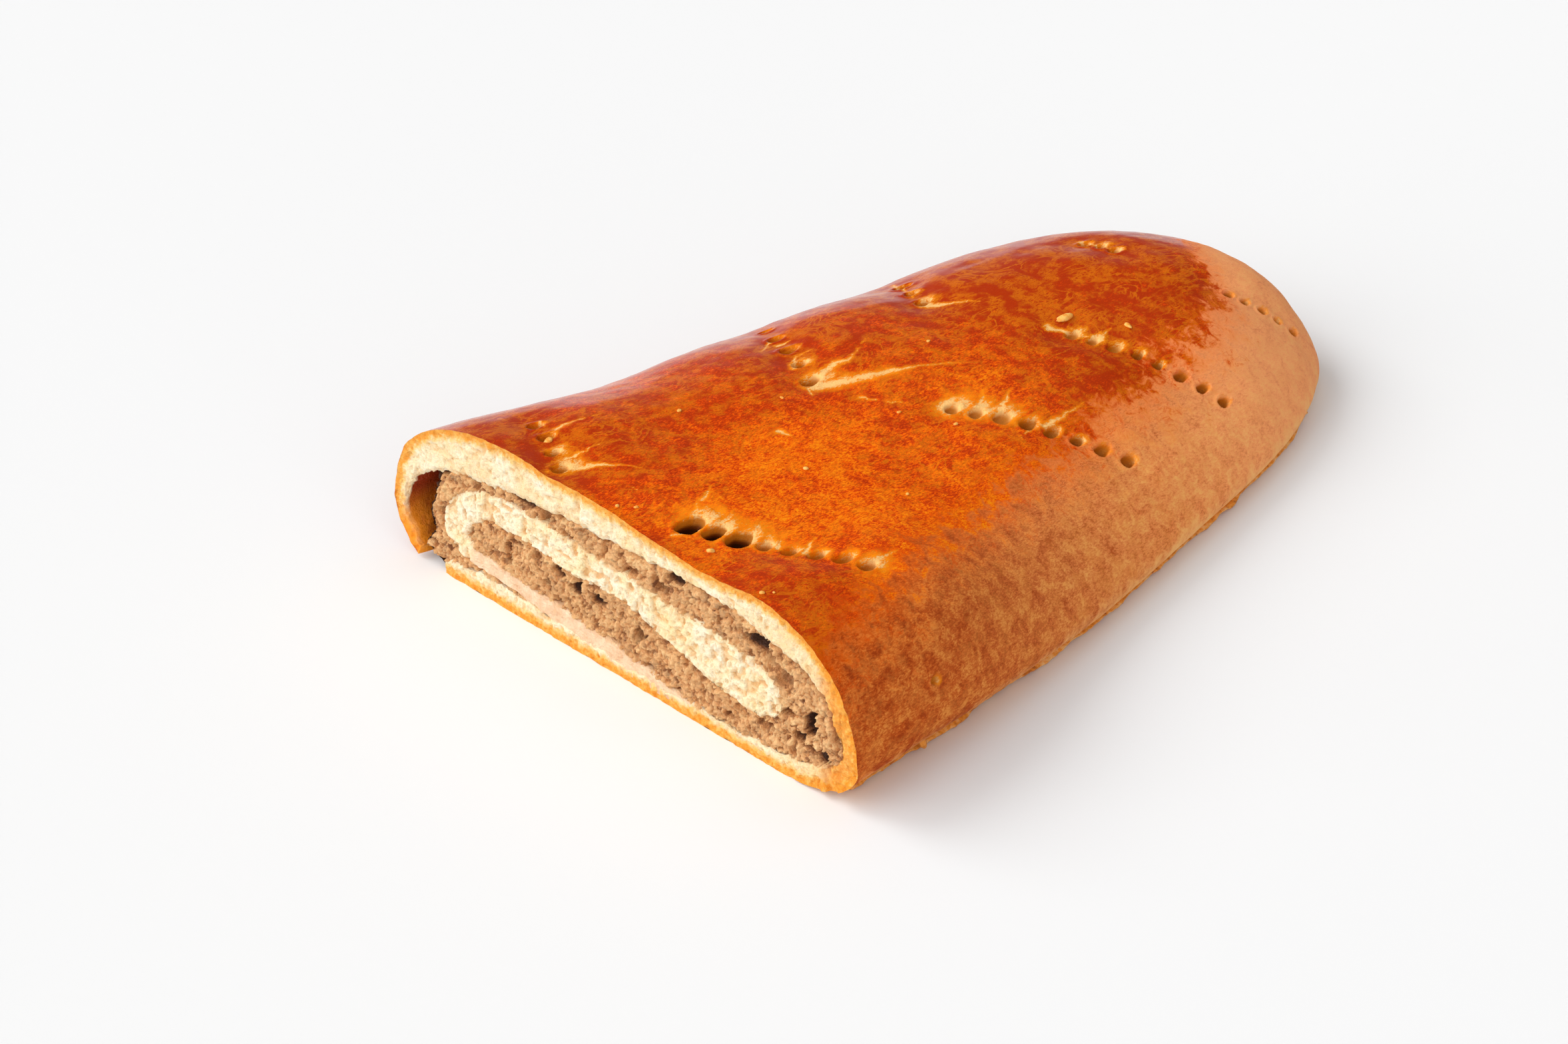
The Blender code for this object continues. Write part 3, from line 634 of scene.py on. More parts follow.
def make_rim(roll, material):
    """The cut face of the wrap and its inner side: for each share, straight from the outside to the inner
    edge, sunk by the crumb's relief, then back along the roll, deepest where the tunnel is."""
    share = np.arange(0.0, 1.0, roll.crumb_step / MM / RING_LENGTH)
    face = np.linspace(0.0, 1.0, 34)
    back = np.linspace(0.0, 1.0, 18)[1:] ** 1.7
    plain = np.zeros(len(share) * len(face))
    front = front_edge(share)
    edge, _, _ = crust_skin(share, front, roll)
    thickness = read(CUT_RING, share)[:, 2]
    inner = inner_edge(share)
    ragged = in_cut(*inner.T)
    torn = 0.45 * noise(ragged, 1.3, 61) + 0.5 * noise(ragged, 3.6, 63)
    inner = inner + torn[:, None] * unit(inner - edge[:, [0, 2]], (0.0, 0.0))
    beside = ease((-58.0 - inner[:, 0]) / 3.0)
    rows, pits = [], []
    for t in face:
        flat = in_cut(*(edge[:, [0, 2]] + (inner - edge[:, [0, 2]]) * t).T)
        crumbly = 0.6 + 0.4 * ease((t * thickness - 0.4) / 1.4)
        sunk = crumb_relief(flat, roll.crumb_openness * 0.6) * crumbly * (t > 0.0)
        pits.append(sunk)
        fold = 0.6 * ease((t - 0.88) / 0.12)
        flat[:, 1] = CUT_Y + front + sunk + fold
        rows.append(flat)
    for t in back:
        wall = carry(inner, 0.0)
        deep = front + 0.8 + t * (WALL_DEPTH + (TUNNEL_LENGTH - WALL_DEPTH) * beside)
        levels = np.round(deep / CARRY_STEP)
        for level in np.unique(levels[levels > 0]):
            wall[levels == level] = carry(inner[levels == level], level * CARRY_STEP)
        wall[:, 1] = CUT_Y + deep
        wall += 0.25 * jitter(wall, 3.5, 65, None, 66)
        rows.append(wall)
    points = np.concatenate(rows)
    from_edge = np.concatenate([t * thickness for t in face] + [thickness + 0 * share for _ in back])
    tunnel = np.concatenate([plain, *(t * beside for t in back)])
    pit = np.concatenate([*pits, np.zeros(len(share) * len(back))])
    faces = grid_faces(len(rows), len(share), ring=True)
    return put("cut_rim", points, faces, material, ["rolled_dough"],
               {"from_edge": from_edge, "tunnel": tunnel, "pit": pit})


def tongue_band(share):
    """The tongue's middle line, the way across it and its half thickness, rounded off at the loose end."""
    here = read(TONGUE_PATH, share)
    ahead, behind = np.minimum(share + 0.004, 1.0), np.maximum(share - 0.004, 0.0)
    step = read(TONGUE_PATH, ahead) - read(TONGUE_PATH, behind)
    step = unit(step[:, :2], (1.0, 0.0))
    across = np.stack([-step[:, 1], step[:, 0]], axis=1)
    reach = share * shares(TONGUE_PATH)[1]
    blunt = np.sqrt(1.0 - np.clip(1.0 - reach / TONGUE_END_ROUNDING, 0.0, 1.0) ** 2)
    return here[:, :2], across, here[:, 2] / 2 * blunt, reach


def make_tongue(roll, material):
    """The cut face of the tongue: a strip across its middle line, its two edges turned into the roll."""
    share = np.linspace(0.0, 1.0, int(shares(TONGUE_PATH)[1] / (roll.crumb_step / MM)))
    middle, across, half, reach = tongue_band(share)
    strip = np.r_[-1.0, -1.0, np.linspace(-1.0, 1.0, 40), 1.0, 1.0]
    behind = np.r_[4.0, 1.2, np.zeros(40), 1.2, 4.0]
    soggy = ease((reach - SOGGY_FROM) / SOGGY_FADE)
    rows, pits = [], []
    for t, back in zip(strip, behind):
        flat = middle + across * (half * t)[:, None]
        points = in_cut(*flat.T)
        wobble = 0.35 * jitter(points, 1.7, 71, None, 72)
        sunk = crumb_relief(points, roll.crumb_openness * (1.0 - 0.8 * soggy))
        round_off = 0.7 * ease((abs(t) - 0.8) / 0.2)
        points[:, 1] = CUT_Y + 0.1 + sunk * (1.0 - 0.5 * soggy) + 0.4 * soggy + round_off + back
        pits.append(sunk)
        rows.append(points + wobble * abs(t))
    faces = grid_faces(len(strip), len(share))
    tags = {"soggy": np.tile(soggy, len(strip)), "side": np.repeat(np.abs(strip), len(share)),
            "pit": np.concatenate(pits)}
    return put("dough_tongue", np.concatenate(rows), faces, material, ["rolled_dough"], tags)


def tongue_ring():
    """The tongue's outline at the cut."""
    middle, across, half, _ = tongue_band(np.linspace(0.0, 1.0, 110))
    side = across * half[:, None]
    return np.vstack([middle + side, (middle - side)[::-1]])


def pebbles(points, size, seed):
    """Round grains of unlike height: a spherical cap round each seed of a cell noise."""
    near, own = grains(points, size, seed)
    return np.sqrt(np.clip(1.0 - (near / 0.68) ** 2, 0.0, 1.0)) * (0.5 + 0.5 * own)


def nut_relief(points, size):
    """Depth of ground nuts at a cut: small round grains on larger ones, piled unevenly, with open
    places. Gives that depth, and how far each point is down a crevice between grains."""
    bent = points + 0.35 * size * jitter(points, size, 77, 78, 79)
    piled = 0.9 * pebbles(bent, size * 2.1, 81) + 0.9 * pebbles(bent, size, 85)
    piled += 0.45 * pebbles(bent, size * 0.5, 89)
    open_place = ease((-0.48 - noise(bent, size * 3.2, 95)) / 0.25)
    crevice = ease((1.05 - piled) / 0.8)
    depth = 1.45 - piled + 0.5 * rough(points, size * 4.5, 93) + 2.2 * open_place
    return depth, np.maximum(crevice, open_place)


def make_nut_face(roll, material):
    """The spread's cut face: a height field over x and z, with grains, hollows and a gap under the roof. It
    runs a little way under the dough round it, sinking as it goes, and stops at the tunnel."""
    step = roll.nut_step / MM
    xs, zs = np.arange(-70.0, 74.0, step), np.arange(1.0, 39.0, step)
    grid = np.stack(np.meshgrid(xs, zs, indexing="ij"), axis=2).reshape(-1, 2)
    coarse = np.meshgrid(np.arange(-71.0, 76.0, COARSE_STEP), np.arange(0.0, 41.0, COARSE_STEP),
                         indexing="ij")
    coarse = np.stack(coarse, axis=2)
    room = depth_inside(coarse.reshape(-1, 2), inner_edge(np.linspace(0.0, 1.0, 150, endpoint=False)))
    tongue = depth_inside(coarse.reshape(-1, 2), tongue_ring())
    room, tongue = (between(grid, coarse, values) for values in (room, tongue))
    edge = spline(SPREAD_LEFT, steps=6)
    order = np.argsort(edge[:, 1])
    left = grid[:, 0] - np.interp(grid[:, 1], edge[order, 1], edge[order, 0])
    seen = (room > -1.2) & (left > -0.1) & (tongue < 1.2)
    flat = in_cut(*grid.T)
    part, spot, room, tongue, left = flat[seen], grid[seen], room[seen], tongue[seen], left[seen]
    relief, crevice = nut_relief(part, roll.nut_size / MM)
    depth = 0.3 + roll.nut_roughness * relief
    wavy = 0.3 * noise(part, 2.0, 97) + 0.15 * noise(part, 0.9, 98)
    hole = np.zeros(len(part))
    for x, z, wide, high, deep in CRUMB_HOLES:
        off = np.hypot((spot[:, 0] - x) / wide, (spot[:, 1] - z) / high) + wavy
        hole += deep * np.sqrt(np.clip(1.0 - off, 0.0, 1.0))
    depth += hole
    roof_gap = ease(1.0 - room / 1.3) * ease(0.3 + 1.8 * noise(part, 6.0, 99)) * (spot[:, 1] > 20.0)
    depth += 2.6 * roof_gap + 2.5 * ease(-room / 0.8)
    depth += 2.6 * ease((tongue - 0.2) / 0.8) + 2.2 * ease(1.0 - left / 1.6)
    flat[seen, 1] = CUT_Y + depth
    keep = seen.reshape(len(xs), len(zs))
    keep = keep[:-1, :-1] & keep[1:, :-1] & keep[:-1, 1:] & keep[1:, 1:]
    faces = grid_faces(len(xs), len(zs), keep=keep, flip=True)
    # Painted shade mask: near 0 on grain tops, which are painted lighter as highlight, rising in the
    # creases, and up to DARKEST in the hollows and the gap under the roof, painted as shadow.
    hollow = np.zeros(len(flat))
    hollow[seen] = crevice + (DARKEST - crevice) * ease((hole + 1.3 * roof_gap - 0.6) / 1.6)
    piece = put("nut_face", flat, faces, material, ["nut_filling"], {"hollow": hollow})
    drop_loose(piece)
    return piece


def between(points, grid, values):
    """Values known on an even coarse grid, read between its points in a straight line."""
    values = values.reshape(grid.shape[:2])
    at = (points - grid[0, 0]) / COARSE_STEP
    low = np.floor(at).astype(int)
    t = at - low
    i, j = low.T
    near = values[i, j] * (1 - t[:, 0]) + values[i + 1, j] * t[:, 0]
    far = values[i, j + 1] * (1 - t[:, 0]) + values[i + 1, j + 1] * t[:, 0]
    return near * (1 - t[:, 1]) + far * t[:, 1]


def drop_loose(piece):
    """Removes the points that no face uses."""
    with edited(piece.data) as bm:
        bmesh.ops.delete(bm, geom=[vert for vert in bm.verts if not vert.link_faces], context="VERTS")


def make_nut_side(roll, material):
    """The spread's left side along the tunnel: its edge at the cut carried back and closing on the wall,
    with lumps across it."""
    edge = spline(SPREAD_LEFT)
    share = np.linspace(0.0, 1.0, 90)
    line = read(edge, share)
    wall = inner_edge(np.linspace(0.0, 0.2, 60))
    rows = []
    for distance in np.linspace(0.0, 1.0, 110) ** 1.4 * (TUNNEL_LENGTH - 2.0):
        shut = TUNNEL_SHUT * ease(distance / TUNNEL_LENGTH)
        points = carry(line - (shut, 0.0), distance)
        points[:, 1] += 1.6
        points[:, 0] += 0.8 * nut_relief(points, roll.nut_size / MM)[0] - 0.4
        beside = carry(wall, distance)
        points[:, 0] = np.maximum(points[:, 0], np.interp(points[:, 2], beside[:, 2], beside[:, 0]) + 0.2)
        rows.append(points)
    points = np.concatenate(rows)
    faces = grid_faces(len(rows), len(share), flip=True)
    # The whole side is painted as shadow: at 2.0 it takes the darkest nut colours.
    hollow = np.full(len(points), 2.0)
    return put("nut_side", points, faces, material, ["nut_filling"], {"hollow": hollow})


def foot_reach(distance):
    """How far to the right the outside reaches low down."""
    wall = outside(np.linspace(0.56, 0.72, 90), np.full(90, distance))
    return wall[wall[:, 2] < FOOT_HEIGHT, 0].max()


def make_seam(roll, material):
    """The sheet's ragged free edge along the right foot: a flat strip with a thick root and a thin edge
    whose reach and lift follow noise, closed all round."""
    distance = np.arange(SEAM_FROM, LENGTH - SEAM_SHORT, 0.5)
    at = in_cut(distance, 0 * distance)
    foot = np.interp(distance, distance[::10], [foot_reach(there) for there in distance[::10]])
    reach = 0.25 + 0.55 * ease(0.5 + noise(at, 9.0, 101)) + 0.45 * noise(at, 2.2, 102) ** 2
    reach = roll.seam_reach / MM * reach
    fade = ease((distance - SEAM_FROM) / 6.0) * ease((LENGTH - SEAM_SHORT - distance) / 8.0)
    reach = reach * fade
    lift = 0.5 + 0.9 * ease(0.4 + noise(at, 6.0, 104)) * fade
    rows = []
    for out, up, raised in SEAM_PROFILE:
        x = foot - SEAM_INSET + (out if out < 0 else out * (1.2 + reach))
        z = up + raised * lift + 0.12 * noise(at, 1.1, 107)
        rows.append(np.stack([x, CUT_Y + distance, np.maximum(z, FLOOR_GAP)], axis=1))
    points = np.stack(rows, axis=1).reshape(-1, 3)
    faces = grid_faces(len(distance), len(SEAM_PROFILE), ring=True, flip=True)
    end = np.arange(len(SEAM_PROFILE))
    faces += [end.tolist(), (end + len(points) - len(end))[::-1].tolist()]
    return put("foot_seam", points, faces, material, ["rolled_dough"])


def lump(size, seed):
    """A crumb: a ball of points round its middle, dented by noise and squashed to its three sizes."""
    around, up = np.meshgrid(np.linspace(0.0, 2 * np.pi, LUMP_AROUND, endpoint=False),
                             np.linspace(LUMP_POLE, np.pi - LUMP_POLE, LUMP_ROWS))
    ball = np.stack([np.cos(around) * np.sin(up), np.sin(around) * np.sin(up), np.cos(up)], axis=-1)
    ball = ball.reshape(-1, 3)
    ball = ball * (1.0 + 0.28 * noise(ball + seed * 7.3, 0.7, seed))[:, None]
    return ball * np.array(size)


def turned(points, angle, first, second):
    """Points turned by an angle, from the first of two axes towards the second."""
    made = points.copy()
    made[:, first] = points[:, first] * np.cos(angle) - points[:, second] * np.sin(angle)
    made[:, second] = points[:, first] * np.sin(angle) + points[:, second] * np.cos(angle)
    return made


def put_lumps(name, lumps, material, nodes):
    """Makes one piece of lumps, each closed at its poles."""
    ring = np.array(grid_faces(LUMP_ROWS, LUMP_AROUND, ring=True, flip=True))
    first = np.arange(LUMP_AROUND)
    last = (first + (LUMP_ROWS - 1) * LUMP_AROUND)[::-1]
    faces = []
    for start in range(0, len(lumps) * LUMP_ROWS * LUMP_AROUND, LUMP_ROWS * LUMP_AROUND):
        faces += (ring + start).tolist() + [(first + start).tolist(), (last + start).tolist()]
    return put(name, np.concatenate(lumps), faces, material, nodes)


def make_flakes(material):
    """Torn shards of crust along the right foot: thin lumps, leant over at random and laid on the
    outside, and one larger fold that stands upright. All are one piece."""
    draw = np.random.default_rng(23)
    spots = [*FOLD, *((distance, draw.uniform(0.6, 2.4), draw.uniform(0.5, 1.3), draw.uniform(0.3, 0.8))
                      for distance in FLAKES)]
    side = np.linspace(0.5, 0.62, 200)
    shards = []
    for i, (distance, height, along_roll, upright) in enumerate(spots):
        wall = outside(side, np.full(len(side), distance))
        wall = wall[np.argmin(np.abs(wall[:, 2] - height))]
        shard = turned(lump((FLAKE_THICKNESS, along_roll, upright), i + 31), draw.uniform(-0.5, 0.5), 1, 2)
        shard = wall + (0.1, 0.0, 0.0) + shard
        shard[:, 2] = np.maximum(shard[:, 2], FLOOR_GAP)
        shards.append(shard)
    return put_lumps("foot_flakes", shards, material, ["rolled_dough"])


def make_crumbs(roll, material):
    """Small crumbs on the crust, each laid on the outside at its place, as one piece."""
    draw = np.random.default_rng(19)
    crumbs = []
    for i, (x, distance, long, wide) in enumerate(CRUMBS):
        skin, _, _ = crust_skin(np.array([share_over(x, distance)]), np.array([distance]), roll)
        ball = turned(lump((long, wide, 0.55 * wide), i + 3), draw.uniform(0.0, np.pi), 0, 1)
        crumbs.append(skin[0] + (0.0, 0.0, 0.25 * wide) + ball)
    return put_lumps("loose_crumbs", crumbs, material, [])


# Shader helpers


def add(tree, kind, inputs=None, **settings):
    """Adds a shader node with its settings, and sets or links its inputs by name or number."""
    made = tree.nodes.new(kind)
    for key, value in settings.items():
        setattr(made, key, value)
    for key, value in (inputs or {}).items():
        socket = made.inputs[key]
        if isinstance(value, bpy.types.NodeSocket):
            tree.links.new(value, socket)
        else:
            socket.default_value = value
    return made


def maths(tree, operation, a, b=0.0, c=0.0, clamp=False):
    """One Math node."""
    return add(tree, "ShaderNodeMath", {0: a, 1: b, 2: c}, operation=operation, use_clamp=clamp).outputs[0]


def times(tree, a, b):
    """One number times another."""
    return maths(tree, "MULTIPLY", a, b)


def times_plus(tree, a, b, c):
    """One number times another, plus a third."""
    return maths(tree, "MULTIPLY_ADD", a, b, c)


def span(tree, value, low, high, to_low=0.0, to_high=1.0):
    """A number mapped smoothly from one range to another, held at its ends."""
    wired = {"Value": value, "From Min": low, "From Max": high, "To Min": to_low, "To Max": to_high}
    return add(tree, "ShaderNodeMapRange", wired, interpolation_type="SMOOTHSTEP").outputs[0]


def mix(tree, share, a, b):
    """One colour mixed into another."""
    made = add(tree, "ShaderNodeMix", {0: share}, data_type="RGBA")
    for number, value in ((6, a), (7, b)):
        if isinstance(value, bpy.types.NodeSocket):
            tree.links.new(value, made.inputs[number])
        else:
            made.inputs[number].default_value = (*value[:3], 1.0)
    return made.outputs[2]


def cover(tree, colour, *layers):
    """Colours laid over one another in turn, each by its share."""
    for share, shade in layers:
        colour = mix(tree, share, colour, shade)
    return colour


def ramp(tree, value, stops):
    """A colour ramp through (place, colour) stops."""
    made = add(tree, "ShaderNodeValToRGB", {0: value})
    elements = made.color_ramp.elements
    while len(elements) < len(stops):
        elements.new(0.5)
    for element, (place, colour) in zip(elements, stops):
        element.position = place
        element.color = (*colour[:3], 1.0)
    return made.outputs[0]


def speckle(tree, coordinate, scale, detail=4.0, roughness=0.6, distortion=0.0):
    """A noise texture's value."""
    wired = dict(Vector=coordinate, Scale=scale, Detail=detail, Roughness=roughness, Distortion=distortion)
    return add(tree, "ShaderNodeTexNoise", wired).outputs[0]


def stretch(tree, coordinate, turn, scale):
    """Coordinates turned about the upright axis and scaled, so that a texture runs in strands."""
    wired = {"Vector": coordinate, "Rotation": (0.0, 0.0, turn), "Scale": scale}
    return add(tree, "ShaderNodeMapping", wired).outputs[0]


def new_group(name, outputs):
    """A shader node group with number outputs. Gives it, its outputs and its coordinate times its scale."""
    group = bpy.data.node_groups.new(name, "ShaderNodeTree")
    group.interface.new_socket("Coordinate", in_out="INPUT", socket_type="NodeSocketVector")
    group.interface.new_socket("Scale", in_out="INPUT", socket_type="NodeSocketFloat").default_value = 1.0
    for key in outputs:
        group.interface.new_socket(key, in_out="OUTPUT", socket_type="NodeSocketFloat")
    given = group.nodes.new("NodeGroupInput").outputs
    size = add(group, "ShaderNodeVectorMath", {0: given["Coordinate"]}, operation="SCALE")
    group.links.new(given["Scale"], size.inputs["Scale"])
    return group, group.nodes.new("NodeGroupOutput").inputs, size.outputs[0]


def ridge(tree, value, sharpness):
    """Thin lines where a noise crosses its middle."""
    away = maths(tree, "ABSOLUTE", maths(tree, "SUBTRACT", value, 0.5))
    return maths(tree, "MULTIPLY_ADD", away, -sharpness, 1.0, clamp=True)


def fibre_group():
    """Browned crust: patches, flecks drawn out along the roll, thin veins and threads, and their height."""
    group, out, at = new_group("browned_fibre", ("Mottle", "Flecks", "Veins", "Threads", "Height"))
    mottle = speckle(group, at, 240.0, 7.0, 0.66, 0.5)
    one = speckle(group, stretch(group, at, 0.45, (1.0, 0.42, 1.0)), 2900.0, 3.0, 0.6, 0.6)
    two = speckle(group, stretch(group, at, -0.35, (1.0, 0.45, 1.0)), 1800.0, 4.0, 0.6, 0.9)
    flecks = times_plus(group, one, 0.5, times(group, two, 0.5))
    long = ridge(group, speckle(group, stretch(group, at, 0.15, (1.0, 0.45, 1.0)), 130.0, 4.0, 0.6, 1.6),
                 26.0)
    few = span(group, speckle(group, at, 55.0, 2.0), 0.42, 0.56)
    grain = speckle(group, at, 3200.0, 2.0, 0.6)
    height = times_plus(group, flecks, 0.8, times(group, grain, 0.2))
    group.links.new(mottle, out["Mottle"])
    group.links.new(flecks, out["Flecks"])
    group.links.new(times(group, long, few), out["Veins"])
    fine = ridge(group, speckle(group, stretch(group, at, 0.5, (1.0, 0.45, 1.0)), 620.0, 4.0, 0.65, 0.8),
                 13.0)
    cross = ridge(group, speckle(group, stretch(group, at, -0.7, (1.0, 0.4, 1.0)), 800.0, 4.0, 0.65, 0.8),
                  12.0)
    some = span(group, speckle(group, at, 210.0, 4.0, 0.6), 0.42, 0.62)
    group.links.new(times(group, maths(group, "MAXIMUM", fine, cross), some), out["Threads"])
    group.links.new(height, out["Height"])
    return group


def pore_group():
    """Crumb: small ragged pores of two sizes, and a height that dips in them."""
    group, out, at = new_group("crumb_pores", ("Pores", "Height"))
    wide = speckle(group, at, 850.0, 4.0, 0.65, 0.4)
    tight = speckle(group, at, 2300.0, 3.0, 0.65)
    pores = maths(group, "MAXIMUM", span(group, wide, 0.44, 0.34), span(group, tight, 0.43, 0.33))
    group.links.new(pores, out["Pores"])
    group.links.new(times_plus(group, wide, 0.6, times(group, tight, 0.4)), out["Height"])
    return group


def place(tree, name, make, coordinate, scale):
    """Puts a shared group, made the first time it is asked for, into a material and gives its outputs."""
    made = tree.nodes.new("ShaderNodeGroup")
    made.node_tree = bpy.data.node_groups.get(name) or make()
    tree.links.new(coordinate, made.inputs["Coordinate"])
    made.inputs["Scale"].default_value = scale
    return made.outputs


def start(name):
    """A new material with its tree, Principled shader and Object coordinates."""
    made = bpy.data.materials.new(name)
    made.use_nodes = True
    tree = made.node_tree
    return made, tree, tree.nodes["Principled BSDF"], add(tree, "ShaderNodeTexCoord").outputs["Object"]


def bump(tree, height, distance, strength, **under):
    """A Bump node's normal, over another one if given."""
    return add(tree, "ShaderNodeBump",
               dict(Height=height, Distance=distance, Strength=strength, **under)).outputs[0]


def settle(shader, **constants):
    """Sets a shader's own inputs, with underscores for the spaces in their names."""
    for key, value in constants.items():
        shader.inputs[key.replace("_", " ")].default_value = value


def finish(tree, shader, colour, normal, rough_share=None, dry=0.0, wet=0.0):
    """Wires a shader's colour and normal, and its roughness between two values where a share is given."""
    tree.links.new(colour, shader.inputs["Base Color"])
    tree.links.new(normal, shader.inputs["Normal"])
    if rough_share is not None:
        tree.links.new(mix(tree, rough_share, (dry,) * 3, (wet,) * 3), shader.inputs["Roughness"])


def tag(tree, name):
    """One of the piece's own attributes."""
    return add(tree, "ShaderNodeAttribute", attribute_name=name).outputs["Fac"]


def tagged(tree, name, *reach):
    """One of the piece's own attributes, mapped smoothly from one range to another."""
    return span(tree, tag(tree, name), *reach)


def glaze_colour(tree, look, fibre, sharp, at, over_x):
    """Four browns by the level of the mottling, darker towards the far end, the left and the near right
    corner, with golden veins and threads."""
    level = times_plus(tree, fibre["Mottle"], 0.72, times(tree, sharp, 0.38))
    level = times_plus(tree, speckle(tree, at, 17.0, 3.0, 0.55, 0.3), 0.7, level)
    dark = times_plus(tree, span(tree, over_x, 0.005, -0.035), 0.45, tagged(tree, "from_cut", 100.0, 165.0))
    corner = times(tree, tagged(tree, "from_cut", 40.0, 5.0), span(tree, over_x, 0.020, 0.045))
    dark = times_plus(tree, corner, 0.7, dark)
    level = times_plus(tree, dark, -0.36, maths(tree, "SUBTRACT", level, 0.45))
    glazed = ramp(tree, level, (
        (0.28, look.crust_dark), (0.44, look.crust_deep), (0.60, look.crust_warm), (0.80, look.crust_gold)))
    lines = maths(tree, "MAXIMUM", fibre["Veins"], fibre["Threads"])
    return mix(tree, times(tree, lines, 0.42), glazed, look.crust_gold)


def matte_colour(tree, look, fibre, sharp, at, border):
    """The unglazed side: brown near the cut, and paler and pinker towards the far end as painted sheen and
    light, with dark creases beside the glaze.
    """
    level = times_plus(tree, fibre["Mottle"], 1.2, times(tree, sharp, 0.3))
    level = maths(tree, "SUBTRACT", level, 0.23)
    near_side = ramp(tree, level, ((0.32, look.side_dark), (0.52, look.side_brown), (0.76, look.side_light)))
    # Painted light: the far end's ramp is paler and pinker, standing in for the sheen and the light its
    # gentler slope catches.
    far_side_sheen = ramp(tree, level, ((0.14, look.side_brown), (0.46, look.side_far_sheen), (0.76, look.side_tan_sheen)))
    creases = ridge(tree, speckle(tree, stretch(tree, at, 0.9, (1.0, 0.7, 1.0)), 330.0, 3.0, 0.55, 1.4),
                    22.0)
    some = span(tree, speckle(tree, at, 160.0, 3.0), 0.44, 0.6)
    beside = times(tree, span(tree, border, 12.0, 24.0), some)
    return cover(tree, mix(tree, tagged(tree, "from_cut", 10.0, 190.0), near_side, far_side_sheen),
                 (times(tree, fibre["Threads"], 0.35), look.side_light),
                 # Painted sheen: a pinkish layer over the far end of the right side.
                 (tagged(tree, "from_cut", 120.0, 200.0, 0.0, 0.5), look.side_end_sheen),
                 (times(tree, creases, times(tree, beside, 0.75)), look.crust_deep))


def crust_material(look):
    """Egg-washed crust: mottled orange-brown glaze, pale where it stretched, brown in the pricks with
    painted shade deepening to painted shadow at their bottoms, and matte on the right side, painted paler
    and pinker at the far end as sheen."""
    made, tree, shader, at = start("crust")
    fibre = place(tree, "browned_fibre", fibre_group, at, 1.0)
    over_x, _, over_z = add(tree, "ShaderNodeSeparateXYZ", {0: at}).outputs
    sharp = span(tree, fibre["Flecks"], 0.37, 0.63)
    blotch = times_plus(tree, fibre["Mottle"], 44.0, times(tree, fibre["Flecks"], 10.0))
    border = maths(tree, "ADD", blotch, tag(tree, "glaze"))
    gloss = span(tree, border, 24.0, 30.0)
    fringe = times(tree, span(tree, border, 14.0, 27.0), span(tree, border, 34.0, 27.0))
    torn = times_plus(tree, fibre["Flecks"], 4.4, maths(tree, "SUBTRACT", tag(tree, "crack"), 2.2))
    pale = span(tree, torn, 1.25, 0.45)
    foot = span(tree, times_plus(tree, fibre["Mottle"], -0.012, over_z), 0.0028, -0.0042)
    glazed = glaze_colour(tree, look, fibre, sharp, at, over_x)
    colour = cover(tree, matte_colour(tree, look, fibre, sharp, at, border),
                   (gloss, glazed),
                   (times(tree, fringe, 0.35), look.crust_warm),
                   (times(tree, span(tree, torn, 2.5, 1.0), 0.65), look.crust_gold),
                   (times(tree, pale, 0.85), look.crust_pale),
                   # Painted shade: the pricks darken with depth, to brown and at the bottoms of the torn
                   # ones to a near-black shadow; the gold on their upper walls is their own colour.
                   (tagged(tree, "prick", 0.03, 0.35, 0.0, 0.9), look.prick_gold),
                   (tagged(tree, "prick", 0.55, 0.98, 0.0, 0.95), look.prick_shade),
                   (tagged(tree, "prick", 0.95, 1.2, 0.0, 0.9), look.prick_shadow),
                   (times(tree, foot, span(tree, over_x, -0.02, 0.03, 0.35, 0.85)), look.foot_gold))
    dry = maths(tree, "MAXIMUM", maths(tree, "SUBTRACT", 1.0, gloss), pale)
    coarse = bump(tree, fibre["Height"], 0.0005, 0.4)
    fine = bump(tree, times(tree, pale, speckle(tree, at, 1800.0, 3.0)), 0.0005, 0.5, Normal=coarse)
    finish(tree, shader, colour, fine, dry, 0.32, 0.5)
    tree.links.new(times(tree, gloss, 0.9), shader.inputs["Coat Weight"])
    settle(shader, Coat_Roughness=0.17, Coat_IOR=1.12, IOR=1.2, Specular_IOR_Level=0.05)
    return made


